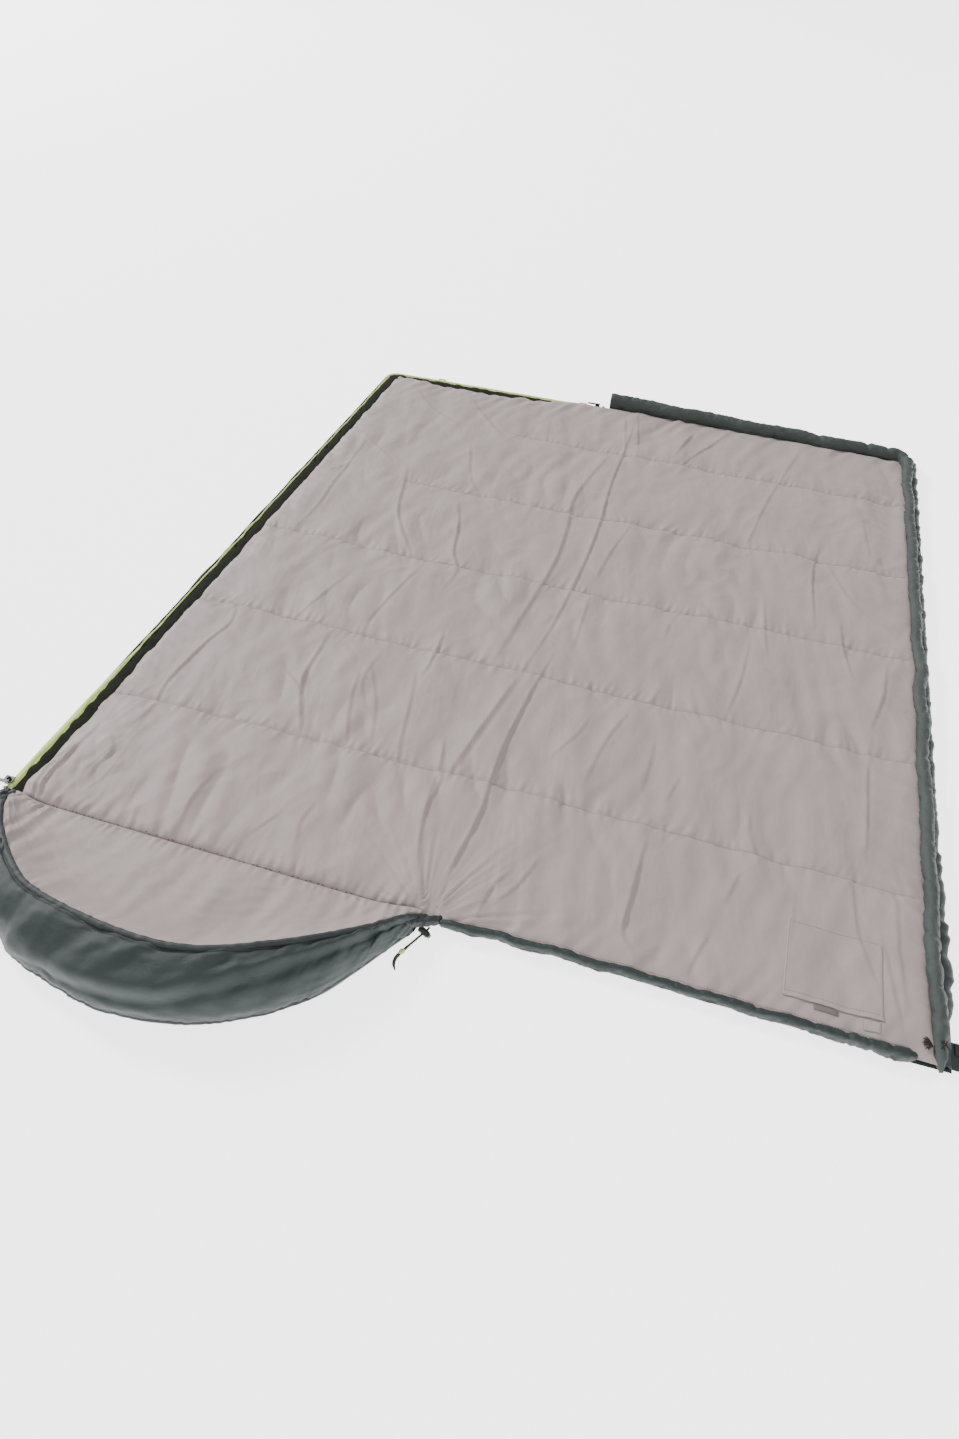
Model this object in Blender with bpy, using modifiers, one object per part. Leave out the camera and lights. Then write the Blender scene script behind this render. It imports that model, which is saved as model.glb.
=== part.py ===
"""Camp quilt: a hooded rectangular sleeping bag opened out flat, lining side up.

Frame: metres, +Z up, +Y from the hood end to the foot, the bag rests on z = 0 and
the origin is under the middle of the whole outline.
"""
import math
import bpy
import bmesh
from mathutils import Vector, Matrix

# ---------------------------------------------------------------- dimensions
HALF_W = 0.865          # fold line to the outer edge of one half
BODY_L = 2.012          # hood seam to foot edge
SHELL_HALF = 0.865      # shell fabric of one half, fold to edge
SHELL_T = 0.0015        # shell fabric with its facing
LINING_HALF = 0.790     # lining of one half
LINING_T = 0.0010
LINING_END = BODY_L - 0.075   # lining stops here at the foot
CHANNELS = 6            # quilted channels along the length
SEAM_Y = (0.0, 0.157, 0.327, 0.494, 0.663, 0.846, 1.0)   # fractions of the length
PAD_TOP = 0.0310        # lining height in the middle of a channel
PAD_SEAM = 0.0150       # lining height on a quilting seam
GAP = 0.0006            # clearance between stacked cloth
FOLD_Z = 0.041          # height of the fold line above the ground
HOOD_DEPTH = 0.327      # hood reaches this far past the hood seam
HOOD_XC = 0.425         # hood centre, from the fold line
HOOD_A_OUT = 0.425      # hood half width towards the zip
HOOD_A_IN = 0.400       # hood half width towards the fold
HOOD_RIM_DEPTH = 0.237  # rim of the raised hood edge
HOOD_RIM_Z = 0.103
HOOD_HINGE_Z = 0.041
TUBE_W = 0.024          # draft tube half width
TUBE_H = 0.0295         # draft tube half height
TUBE_Z = 0.0365
TUBE_D = 0.824          # draft tube centre, from the fold line
COIL_R = 0.0030
COIL_D = 0.8625
COIL_Z = 0.0084
CORD_R = 0.0015
CORD_Z = 0.0075
TAB_L = 0.066
TAB_Y0, TAB_Y1 = 0.006, 0.054
LOOP_OUT = 0.024        # hang loop reach past the foot edge
LOOP_W = 0.028
LOOP_D = (0.680, 0.185)
SLIDER_L = 0.014
CORNER_R = 0.076
LIFT = 0.0020           # zip runs this far above the shell fabric

PULL_OUT = 0.0300       # the side pull lies outboard by this much
LEFT_REACH = 0.8675 + PULL_OUT   # tip of the side pull, the outermost point on the left
RIGHT_REACH = 0.869 + TAB_L
XF = (LEFT_REACH - RIGHT_REACH) / 2.0
Y0 = (HOOD_DEPTH + 0.0010 - (BODY_L + 0.0010 + LOOP_OUT)) / 2.0

# ---------------------------------------------------------------- scene
for ob in list(bpy.data.objects):
    bpy.data.objects.remove(ob, do_unlink=True)
PARTS = bpy.data.collections.new("camp_quilt")
CUTTERS = bpy.data.collections.new("cutters")
for c in (PARTS, CUTTERS):
    bpy.context.scene.collection.children.link(c)

MATS = {}


def mat(name, rgb, rough=0.8, metal=0.0):
    if name not in MATS:
        m = bpy.data.materials.new(name)
        m.use_nodes = True
        b = m.node_tree.nodes["Principled BSDF"]
        b.inputs["Base Color"].default_value = (*rgb, 1.0)
        b.inputs["Roughness"].default_value = rough
        b.inputs["Metallic"].default_value = metal
        m.diffuse_color = (*rgb, 1.0)
        MATS[name] = m
    return MATS[name]


LINING = mat("lining_polyester", (0.42, 0.38, 0.375), 0.75)
SHELL = mat("shell_polyester", (0.075, 0.095, 0.092), 0.62)
FILL = mat("hollow_fibre", (0.82, 0.82, 0.80), 0.95)
TAPE = mat("zip_tape_olive", (0.035, 0.040, 0.020), 0.8)
LIME = mat("zip_coil_lime", (0.58, 0.80, 0.20), 0.45)
DARK = mat("moulded_dark", (0.030, 0.034, 0.030), 0.5)
METAL = mat("slider_metal", (0.040, 0.042, 0.040), 0.35, 0.8)
STEEL = mat("spring_steel", (0.55, 0.55, 0.56), 0.3, 1.0)
CORD = mat("drawcord_olive", (0.050, 0.060, 0.020), 0.8)
WEB = mat("loop_webbing", (0.55, 0.78, 0.20), 0.8)
HOOK = mat("hook_tape", (0.035, 0.037, 0.037), 0.9)
SLATE = mat("tab_slate", (0.085, 0.105, 0.105), 0.7)


def put(ob, material, smooth=None):
    for c in list(ob.users_collection):
        c.objects.unlink(ob)
    PARTS.objects.link(ob)
    ob.data.materials.clear()
    ob.data.materials.append(material)
    if smooth is not None and ob.type == "MESH":
        ob.data.shade_smooth()
        ob.data.set_sharp_from_angle(angle=math.radians(smooth))
    return ob


def from_bm(name, bm, material, origin=None, smooth=None):
    bmesh.ops.recalc_face_normals(bm, faces=bm.faces[:])
    me = bpy.data.meshes.new(name)
    if origin is not None:
        bmesh.ops.transform(bm, matrix=Matrix.Translation(-Vector(origin)), verts=bm.verts[:])
    bm.to_mesh(me)
    bm.free()
    ob = bpy.data.objects.new(name, me)
    bpy.context.scene.collection.objects.link(ob)
    if origin is not None:
        ob.location = Vector(origin)
    return put(ob, material, smooth)


def P(d, y, z, side=-1):
    """Point from distance to the fold line, distance to the hood seam, height."""
    return Vector((XF + side * d, Y0 + y, z))


def flat(name, outlines, z0, z1, material, origin=None, axis="Z", place=None):
    """A flat outline (with holes) between two heights, as a filled 2D curve."""
    cu = bpy.data.curves.new(name, "CURVE")
    cu.dimensions = "2D"
    cu.fill_mode = "BOTH"
    cu.extrude = (z1 - z0) / 2.0
    for line in outlines:
        sp = cu.splines.new("POLY")
        sp.points.add(len(line) - 1)
        for p, (x, y) in zip(sp.points, line):
            p.co = (x, y, 0.0, 1.0)
        sp.use_cyclic_u = True
    ob = bpy.data.objects.new(name, cu)
    bpy.context.scene.collection.objects.link(ob)
    ob.location = (0.0, 0.0, (z0 + z1) / 2.0)
    bpy.context.view_layer.update()
    m = place if place is not None else ob.matrix_world.copy()
    return mesh_of(ob, name, material, m, origin)


def mesh_of(ob, name, material, m=None, origin=None, smooth=None):
    """Turn a curve into a closed mesh with its caps welded on."""
    dg = bpy.context.evaluated_depsgraph_get()
    me = bpy.data.meshes.new_from_object(ob.evaluated_get(dg))
    m = m if m is not None else ob.matrix_world.copy()
    bpy.data.objects.remove(ob, do_unlink=True)
    bm = bmesh.new()
    bm.from_mesh(me)
    bmesh.ops.remove_doubles(bm, verts=bm.verts[:], dist=1e-6)
    bmesh.ops.transform(bm, matrix=m, verts=bm.verts[:])
    return from_bm(name, bm, material, origin, smooth)


def tube(name, pts, radius, material, res=2, caps=True, stretch=None, origin=None, smooth=50):
    """A round tube along points; stretch widens its section in height."""
    cu = bpy.data.curves.new(name, "CURVE")
    cu.dimensions = "3D"
    cu.bevel_depth = radius
    cu.bevel_resolution = res
    cu.use_fill_caps = caps
    cu.twist_mode = "Z_UP"
    sp = cu.splines.new("POLY")
    sp.points.add(len(pts) - 1)
    for p, co in zip(sp.points, pts):
        p.co = (*co, 1.0)
    ob = bpy.data.objects.new(name, cu)
    bpy.context.scene.collection.objects.link(ob)
    bpy.context.view_layer.update()
    m = None
    if stretch is not None:
        zc, k = stretch
        m = (Matrix.Translation((0, 0, zc)) @ Matrix.Diagonal((1, 1, k, 1))
             @ Matrix.Translation((0, 0, -zc)) @ ob.matrix_world)
    return mesh_of(ob, name, material, m, origin, smooth)


def box(name, lo, hi, material, origin=None, bevel=0.0):
    bm = bmesh.new()
    bmesh.ops.create_cube(bm, size=1.0)
    lo, hi = Vector(lo), Vector(hi)
    for v in bm.verts:
        v.co = Vector([(lo[i] + hi[i]) / 2 + v.co[i] * (hi[i] - lo[i]) for i in range(3)])
    if bevel:
        bmesh.ops.bevel(bm, geom=bm.edges[:], offset=bevel, segments=2, affect="EDGES")
    return from_bm(name, bm, material, origin, 40)


def boolean(ob, cutter, op="DIFFERENCE"):
    for c in list(cutter.users_collection):
        c.objects.unlink(cutter)
    CUTTERS.objects.link(cutter)
    cutter.hide_render = True
    cutter.display_type = "WIRE"
    m = ob.modifiers.new(cutter.name, "BOOLEAN")
    m.operation = op
    m.solver = "EXACT"
    m.object = cutter


def cylinder(name, centre, axis, radius, length, material, seg=20, origin=None, smooth=40):
    bm = bmesh.new()
    bmesh.ops.create_cone(bm, cap_ends=True, segments=seg, radius1=radius, radius2=radius, depth=length)
    q = Vector((0, 0, 1)).rotation_difference(Vector(axis))
    bmesh.ops.transform(bm, matrix=Matrix.Translation(Vector(centre)) @ q.to_matrix().to_4x4(), verts=bm.verts[:])
    return from_bm(name, bm, material, origin, smooth)


# ---------------------------------------------------------------- quilted surface
def smooth01(t):
    t = max(0.0, min(1.0, t))
    return t * t * (3 - 2 * t)


def pad_height(d, y, near):
    """Lining height over one half: scalloped channels, thin at every edge."""
    v = y / BODY_L
    i = max(0, min(CHANNELS - 1, sum(1 for s in SEAM_Y[1:-1] if v >= s)))
    t = (v - SEAM_Y[i]) / (SEAM_Y[i + 1] - SEAM_Y[i])
    z = PAD_SEAM + (PAD_TOP - PAD_SEAM) * math.sin(math.pi * min(1.0, max(0.0, t))) ** 0.6
    edge = smooth01((LINING_HALF - d) / 0.10)
    z = 0.0060 + (z - 0.0060) * (0.18 + 0.82 * edge if d < LINING_HALF - 1e-5 else 0.0)
    z = min(z, 0.0060 + 0.022 * smooth01((d + 0.03) / 0.06) + 0.004)
    foot = smooth01((LINING_END - y) / 0.06)
    z = 0.0060 + (z - 0.0060) * foot
    if near:
        z = 0.0200 + (z - 0.0200) * smooth01((y - 0.010) / 0.05)
    return z


def y_lines(near):
    ys = []
    for a, b in zip(SEAM_Y[:-1], SEAM_Y[1:]):
        for k in range(5):
            ys.append((a + (b - a) * (0.0, 0.12, 0.35, 0.65, 0.88)[k]) * BODY_L)
    ys = [y for y in ys if 0.05 < y < LINING_END - 0.07]
    start = [0.0140, 0.0180, 0.0390] if near else [0.0010, 0.0050, 0.0300]
    return start + ys + [LINING_END - 0.055, LINING_END - 0.035, LINING_END - 0.012, LINING_END]


D_LINES = [0.0030, 0.0060, 0.0400, 0.1500, 0.3800, 0.5990, 0.6450, 0.6900, 0.7250, 0.7580, 0.7750, LINING_HALF]


def sheet(name, ds, ys, top, bottom, side, material, origin=None, smooth=60):
    """A grid over ds x ys, raised to top(d, y) and closed down to bottom(d, y)."""
    bm = bmesh.new()
    bmesh.ops.create_grid(bm, x_segments=len(ds) - 1, y_segments=len(ys) - 1, size=1.0)
    grid = {}
    nx, ny = len(ds) - 1, len(ys) - 1
    for v in bm.verts:
        grid[v] = (round((v.co.x + 1) / 2 * nx), round((v.co.y + 1) / 2 * ny))
    for v, (i, j) in grid.items():
        v.co = P(ds[i], ys[j], top(ds[i], ys[j]), side)
    faces = bm.faces[:]
    ret = bmesh.ops.extrude_face_region(bm, geom=faces)
    for v in [g for g in ret["geom"] if isinstance(g, bmesh.types.BMVert)]:
        d, y = side * (v.co.x - XF), v.co.y - Y0
        v.co.z = bottom(min(ds, key=lambda a: abs(a - d)), min(ys, key=lambda a: abs(a - y)))
    return from_bm(name, bm, material, origin, smooth)


def half(prefix, side, near):
    ys = y_lines(near)
    top = lambda d, y: pad_height(d, y, near)
    r = CORNER_R
    cx, cy = SHELL_HALF - r, BODY_L - r
    arc = [(cx + r * math.cos(a), cy + r * math.sin(a)) for a in [math.pi / 2 * k / 8 for k in range(9)]]
    line = [(0.003, 0.0), (SHELL_HALF, 0.0)] + arc + [(0.003, BODY_L)]
    line = [(XF + side * x, Y0 + y) for x, y in line]
    if side < 0:
        line.reverse()
    flat(prefix + "_shell", [line], 0.0, SHELL_T, SHELL)
    sheet(prefix + "_insulation", D_LINES[1:-1], ys[1:-1],
          lambda d, y: top(d, y) - LINING_T - GAP, lambda d, y: SHELL_T + 0.0005, side, FILL)
    sheet(prefix + "_lining", D_LINES, ys, top, lambda d, y: top(d, y) - LINING_T, side, LINING)


def ell(e_in, e_out, y_start, d_end, side, r_out):
    """An L-shaped strip along the side and round the foot corner, by distances from the fold."""
    def path(e):
        cx, cy = HALF_W - r_out, BODY_L - r_out
        r = e - cx
        pts = [(e, y_start)]
        pts += [(cx + r * math.cos(a), cy + r * math.sin(a)) for a in [math.pi / 2 * k / 8 for k in range(9)]]
        return pts + [(d_end, cy + r)]
    line = path(e_out) + path(e_in)[::-1]
    return [(XF + side * x, Y0 + y) for x, y in line]


R_OUT = CORNER_R


def strip(name, e_in, e_out, y_start, d_end, side, z0, z1, material):
    line = ell(e_in, e_out, y_start, d_end, side, R_OUT)
    if side < 0:
        line.reverse()
    return flat(name, [line], z0, z1, material)


def coil_path(e, y_start, d_end, side, z):
    cx, cy = HALF_W - R_OUT, BODY_L - R_OUT
    r = e - cx
    pts = [(e, y_start)]
    pts += [(cx + r * math.cos(a), cy + r * math.sin(a)) for a in [math.pi / 2 * k / 8 for k in range(9)]]
    pts += [(d_end, cy + r)]
    return [P(x, y, z, side) for x, y in pts]


# ---------------------------------------------------------------- lower half (stays down)
half("lower", -1, False)
half("upper", +1, True)

ZIP_END = 0.120         # the zip stops short of the fold at the foot
strip("lower_anti_snag_strip", 0.7925, 0.8300, 0.010, ZIP_END, -1, 0.0020, 0.0045, TAPE)
strip("lower_zip_tape", 0.8310, 0.8630, 0.010, ZIP_END, -1, 0.0022 + LIFT, 0.0030 + LIFT, TAPE)
tube("lower_zip_coil", coil_path(COIL_D, 0.0160, ZIP_END, -1, COIL_Z), COIL_R, LIME)
strip("upper_zip_tape", 0.8000, 0.8630, 0.010, ZIP_END, +1, 0.0022 + LIFT, 0.0030 + LIFT, TAPE)
tube("upper_zip_coil", coil_path(COIL_D, 0.0220, ZIP_END, +1, COIL_Z), COIL_R, DARK)

foot_y = coil_path(COIL_D, 0.02, ZIP_END, -1, COIL_Z)[-1].y - Y0
box("lower_zip_top_stop", P(COIL_D + 0.0035, 0.0090, 0.0054), P(COIL_D - 0.0035, 0.0150, 0.0120), DARK, bevel=0.0006)
box("zip_retainer_box", P(ZIP_END - 0.0010, foot_y - 0.0050, 0.0054), P(ZIP_END - 0.0110, foot_y + 0.0050, 0.0120), DARK, bevel=0.0008)
box("zip_insertion_pin", P(COIL_D - 0.0022, 0.0100, 0.0054, 1), P(COIL_D + 0.0022, 0.0210, 0.0108, 1), DARK, bevel=0.0006)
box("closure_loop_patch", P(0.827, 0.018, 0.0050), P(0.797, 0.068, 0.0068), HOOK, bevel=0.0004)


# ---------------------------------------------------------------- zip sliders
def slider(name, centre, along):
    """Two wings joined by the middle post, with the bridge that carries the pull."""
    cx, cy = round(centre[0], 4), round(centre[1], 4)
    w = 0.0100
    prof = [(-w, .0098), (-.0008, .0100), (-.0008, .0018), (-w, .0016), (-w, .0004), (w, .0004),
            (w, .0016), (.0008, .0018), (.0008, .0100), (w, .0098), (w, .0114), (-w, .0114)]
    prof = [(x, z + LIFT) for x, z in prof]
    # section drawn across the zip, then pushed along it
    cu_rot = Matrix(((1, 0, 0, 0), (0, 0, -1, 0), (0, 1, 0, 0), (0, 0, 0, 1)))
    quarter = Matrix(((0, -1, 0, 0), (1, 0, 0, 0), (0, 0, 1, 0), (0, 0, 0, 1)))
    turn = Matrix.Identity(4) if along == "Y" else quarter
    place = Matrix.Translation((cx, cy, 0)) @ turn @ cu_rot
    body = flat(name, [prof], -SLIDER_L / 2, SLIDER_L / 2, METAL, origin=(cx, cy, 0), place=place)
    # the bridge: an arch along the zip, 3 mm wide, with its hole for the pull
    ri, ro, zc = 0.0017, 0.0034, 0.0130 + LIFT
    out = [(ro * math.cos(a), zc + ro * math.sin(a)) for a in [math.pi * k / 10 for k in range(11)]]
    out = [(ro, 0.0106 + LIFT)] + out + [(-ro, 0.0106 + LIFT)]
    inn = [(-ri, 0.0106 + LIFT)] + [(-ri * math.cos(a), zc + ri * math.sin(a)) for a in [math.pi * k / 8 for k in range(9)]] + [(ri, 0.0106 + LIFT)]
    arch_place = Matrix.Translation((cx, cy, 0)) @ turn @ quarter @ cu_rot
    arch = flat(name + "_bridge", [out + inn], -0.0015, 0.0015, METAL, origin=(cx, cy, 0), place=arch_place)
    arch.location.x += 0.00001
    boolean(body, arch, "UNION")
    return body


def pull(name, centre, direction, sideways=False):
    """A zip pull whose crossbar runs through the bridge; it lies along `direction`."""
    hw = 0.0045
    z = 0.0130 + LIFT
    L = 0.034
    if sideways:
        q = PULL_OUT
        outer = [(-hw, -0.0011), (hw, -0.0011), (hw, 0.0050), (0.0120, 0.0056), (q - 0.0085, 0.0050), (q, 0.0092), (q - 0.0085, 0.0138),
                 (0.0120, 0.0126), (-0.0005, 0.0122), (-hw, 0.0085)]
    else:
        outer = [(-hw, -0.0011), (hw, -0.0011), (hw, 0.006), (0.0042, 0.010), (0.0050, L - 0.008), (0.0028, L - 0.001), (0.0, L),
                 (-0.0028, L - 0.001), (-0.0050, L - 0.008), (-0.0042, 0.010), (-hw, 0.006)]
    hole = [(-0.0025, 0.0011), (-0.0025, 0.0052), (0.0025, 0.0052), (0.0025, 0.0011)]
    if sideways:
        turn = Matrix(((-1, 0, 0, 0), (0, -1, 0, 0), (0, 0, 1, 0), (0, 0, 0, 1)))
    else:
        turn = Matrix.Rotation(math.atan2(direction[1], direction[0]) - math.pi / 2, 4, "Z")
    place = Matrix.Translation((centre[0], centre[1], z)) @ turn
    return flat(name, [outer, hole], -0.0008, 0.0008, DARK, origin=(centre[0], centre[1], z), place=place)


SIDE_Y = 0.031
s_c = P(COIL_D + 0.0050, SIDE_Y, 0)
slider("side_slider", (s_c.x, s_c.y), "Y")
pull("side_pull", (round(s_c.x, 4), round(s_c.y, 4)), (0.0, -1.0), sideways=True)
FOOT_D = 0.134
f_c = P(FOOT_D, foot_y + 0.0050, 0)
slider("foot_slider", (f_c.x, f_c.y), "X")
pull("foot_pull", (round(f_c.x, 4), round(f_c.y, 4)), (-1.0, 0.0))


# ---------------------------------------------------------------- hang loops at the foot
def hang_loop(name, d):
    hw, b = LOOP_W / 2, 0.0080
    y0, y1 = 0.0, LOOP_OUT
    def ushape(w, ya, yb, r):
        pts = [(-w, ya), (w, ya)]
        pts += [(w - r + r * math.cos(a), yb - r + r * math.sin(a)) for a in [math.pi / 2 * k / 4 for k in range(5)]]
        pts += [(-w + r + r * math.cos(a), yb - r + r * math.sin(a)) for a in [math.pi / 2 + math.pi / 2 * k / 4 for k in range(5)]]
        return pts
    o = P(d, BODY_L + 0.0010, 0.0009)
    place = Matrix.Translation(o)
    return flat(name, [ushape(hw, y0, y1, 0.007), ushape(hw - b, 0.004, y1 - b, 0.002)], -0.0006, 0.0006,
                WEB, origin=o, place=place)


hang_loop("hang_loop_corner", LOOP_D[0])
hang_loop("hang_loop_middle", LOOP_D[1])


# ---------------------------------------------------------------- upper half fittings
def tube_path(y_start, d_start):
    r = 0.050
    cx, cy = TUBE_D - r, BODY_L - 0.028 - r
    pts = [(TUBE_D, y_start + (cy - y_start) * k / 3) for k in range(4)]
    pts += [(cx + r * math.cos(a), cy + r * math.sin(a)) for a in [math.pi / 2 * k / 5 for k in range(1, 6)]]
    pts += [(cx + (d_start - cx) * k / 2, cy + r) for k in (1, 2)]
    return [P(x, y, TUBE_Z, 1) for x, y in pts]


K = TUBE_H / TUBE_W
cover = tube("draft_tube_cover", tube_path(0.004, 0.0040), TUBE_W, SHELL, res=4, caps=False, stretch=(TUBE_Z, K))
so = cover.modifiers.new("cloth", "SOLIDIFY")
so.thickness = 0.0010
so.offset = -1.0
so.use_even_offset = False
tube("draft_tube_filling", tube_path(0.008, 0.0080), TUBE_W - 0.0022, FILL, res=4, stretch=(TUBE_Z, (TUBE_H - 0.0022) / (TUBE_W - 0.0022)))

# padded binding along the top edge of the upper half, a D-section run
bd = [(0.0005, 0.0018), (0.0120, 0.0018), (0.0125, 0.0140), (0.0120, 0.0285), (0.0095, 0.0300), (0.0060, 0.0296), (0.0030, 0.0270),
      (0.0010, 0.0220), (0.0004, 0.0150)]
place = Matrix.Translation((XF + 0.410, Y0, 0)) @ Matrix.Rotation(math.pi / 2, 4, "Z") @ Matrix.Rotation(math.pi / 2, 4, "X")
flat("top_edge_binding", [bd], -0.385, 0.385, SHELL, place=place)

# pocket: a panel that opens towards the hood, on the lining of the upper half
ysU = y_lines(True)
PK_D0, PK_D1, PK_Y0, PK_Y1 = 0.5990, 0.7580, 0.0390, 0.1900


def lines_between(lines, a, b):
    return [a] + [v for v in lines if a + 0.004 < v < b - 0.004] + [b]


def lining_z(d, y):
    """Height of the lining's own facets."""
    i = max(k for k in range(len(D_LINES) - 1) if D_LINES[k] <= d + 1e-9)
    j = max(k for k in range(len(ysU) - 1) if ysU[k] <= y + 1e-9)
    a = (d - D_LINES[i]) / (D_LINES[i + 1] - D_LINES[i])
    b = (y - ysU[j]) / (ysU[j + 1] - ysU[j])
    q = [pad_height(D_LINES[m], ysU[n], True) for m, n in ((i, j), (i + 1, j), (i, j + 1), (i + 1, j + 1))]
    return max((q[0] * (1 - a) + q[1] * a) * (1 - b) + (q[2] * (1 - a) + q[3] * a) * b,
               0.0)


pk_ds = lines_between(D_LINES, PK_D0, PK_D1)
pk_ys = lines_between(ysU, PK_Y0, PK_Y1)
PK_HINGE_Z = lining_z(0.66, PK_Y1) + 0.0012
sheet("pocket_panel", pk_ds, pk_ys, lambda d, y: lining_z(d, y) + 0.0022, lambda d, y: lining_z(d, y) + 0.0010, 1, LINING,
      origin=P((PK_D0 + PK_D1) / 2, PK_Y1, PK_HINGE_Z, 1))
sheet("pocket_hook_patch", [0.6450, 0.6900], [0.0185, 0.0370], lambda d, y: lining_z(d, y) + 0.0024, lambda d, y: lining_z(d, y) + 0.0009, 1, HOOK)

# closure tab at the top of the zip
box("closure_tab", P(0.8690, TAB_Y0, 0.0035, 1), P(0.8690 + TAB_L, TAB_Y1, 0.0055, 1), SLATE, origin=P(0.8675, 0.030, 0.0045, 1), bevel=0.0005)
box("closure_hook_patch", P(0.8720, 0.0310, 0.0059, 1), P(0.8690 + TAB_L - 0.0025, 0.0525, 0.0074, 1), HOOK, bevel=0.0004)


# ---------------------------------------------------------------- hood
def hood_pt(theta, rho, z):
    a = HOOD_A_IN if math.cos(theta) > 0 else HOOD_A_OUT
    return Vector((XF - HOOD_XC + a * math.cos(theta) * rho, Y0 - 0.0010 - HOOD_DEPTH * math.sin(theta) * rho, z))


def lerp(a, b, t):
    return a + (b - a) * t


SHELL_MID = [(0.02, 0.0), (0.88, 0.0), (0.975, 0.008), (1.0, 0.032), (0.975, 0.062), (0.900, 0.090), (0.800, 0.1020), (0.745, 0.1010)]
SHELL_END = [(0.02, 0.0), (0.88, 0.0), (0.960, 0.003), (0.985, 0.010), (0.985, 0.018), (0.970, 0.025), (0.950, 0.0300), (0.930, 0.0310)]
LIN_MID = [(0.02, 0.0300), (0.30, 0.0300), (0.50, 0.0310), (0.610, 0.0380), (0.670, 0.0580), (0.705, 0.0820), (0.728, 0.0985)]
LIN_END = [(0.02, 0.0280), (0.30, 0.0280), (0.50, 0.0285), (0.700, 0.0290), (0.820, 0.0295), (0.890, 0.0300), (0.915, 0.0305)]


def rise(theta):
    return smooth01((HOOD_RIM_DEPTH * math.sin(theta) - 0.045) / 0.150)


THETAS = [math.radians(a) for a in (1, 7, 14, 22, 32, 45, 60, 75, 90, 105, 120, 135, 148, 158, 166, 173, 179)]


def section(mid, end, theta):
    w = rise(theta)
    s = math.sin(theta)
    return [(lerp(e[0], m[0], smooth01(s)), lerp(e[1], m[1], w)) for m, e in zip(mid, end)]


def loft(name, rings, material, closed, smooth=60):
    """A skin through sections; closed sections give a solid with its ends filled."""
    bm = bmesh.new()
    vs = [[bm.verts.new(p) for p in r] for r in rings]
    n = len(rings[0])
    for a, b in zip(vs[:-1], vs[1:]):
        for k in range(n if closed else n - 1):
            bm.faces.new((a[k], a[(k + 1) % n], b[(k + 1) % n], b[k]))
    if closed:
        bm.faces.new(vs[0][::-1])
        bm.faces.new(vs[-1])
        bmesh.ops.triangulate(bm, faces=[f for f in bm.faces if len(f.verts) > 4])
    return from_bm(name, bm, material, None, smooth)


def thick(sec, t):
    """The section with its inner line, t inside the outer one."""
    inner = []
    for k, (r, z) in enumerate(sec):
        a = sec[max(0, k - 1)]
        b = sec[min(len(sec) - 1, k + 1)]
        dr, dz = (b[0] - a[0]) * 0.36, b[1] - a[1]
        L = math.hypot(dr, dz)
        inner.append((r - dz / L * t / 0.36, z + dr / L * t))
    return inner


def hood_solid(name, outer_fn, inner_fn, material):
    rings = []
    for th in THETAS:
        o, i = outer_fn(th), inner_fn(th)
        rings.append([hood_pt(th, r, z) for r, z in o] + [hood_pt(th, r, z) for r, z in reversed(i)])
    return loft(name, rings, material, True)


sh = lambda th: section(SHELL_MID, SHELL_END, th)
ln = lambda th: section(LIN_MID, LIN_END, th)
hood_solid("hood_shell", sh, lambda th: thick(sh(th), 0.0012), SHELL)
hood_solid("hood_lining", ln, lambda th: [(r, z - 0.0001) for r, z in thick(ln(th), -0.0012)], LINING)
hood_solid("hood_insulation", lambda th: thick(sh(th), 0.0045), lambda th: thick(ln(th), -0.0050), FILL)

# rim channel: a cloth tube that holds the drawcord
CH_R = 0.0048
rim_in = lambda th: section([(0.7365, HOOD_RIM_Z + 0.0045)], [(0.925, 0.0378)], th)[0]
U = Vector((-0.45, -0.893, 0.0)).normalized()          # direction of the free cord
LOCK = P(-0.010, -0.028, CORD_Z)                        # cord lock centre
mouth = LOCK - U * 0.0125 + Vector((0, 0, 0.0012))


def rim_path():
    pts = []
    for a in range(172, 5, -6):
        th = math.radians(a)
        r, z = rim_in(th)
        pts.append(hood_pt(th, r, z))
    return pts


def smooth_route(ctrl, n):
    """Catmull-Rom points through ctrl, n per span."""
    out = []
    c = [ctrl[0] * 2 - ctrl[1]] + list(ctrl) + [ctrl[-1] * 2 - ctrl[-2]]
    for i in range(1, len(c) - 2):
        p0, p1, p2, p3 = c[i - 1:i + 3]
        for k in range(n):
            t = k / n
            out.append(0.5 * ((2 * p1) + (p2 - p0) * t + (2 * p0 - 5 * p1 + 4 * p2 - p3) * t * t + (3 * p1 - p0 - 3 * p2 + p3) * t ** 3))
    return out + [ctrl[-1]]


rim = rim_path()
tail_ctrl = [rim[-1], P(0.016, -0.0155, 0.0310), P(0.002, -0.0108, 0.0215), P(-0.009, -0.0100, 0.0130), mouth + Vector((0, 0, 0.0008))]
channel = rim[:-1] + smooth_route(tail_ctrl, 3)
ch = tube("hood_rim_channel", channel, CH_R, SHELL, res=2, caps=False)
so = ch.modifiers.new("cloth", "SOLIDIFY")
so.thickness = 0.0010
so.offset = -1.0
so.use_even_offset = False
tube("hood_drawcord", channel, CORD_R, CORD, res=2)

end = channel[-1]
OUT = (end - channel[-2]).normalized()
START = end + OUT * 0.0005
BEAD = LOCK + U * 0.052
BEAD.z = 0.0062
ctrl = [START + OUT * 0.0015, LOCK - U * 0.0075, LOCK, LOCK + U * 0.020, LOCK + U * 0.038, BEAD - U * 0.0075 + Vector((0, 0, 0.0004))]
drawn = [START] + smooth_route(ctrl, 5)
tube("drawcord_free", drawn, CORD_R, CORD, res=2)
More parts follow.
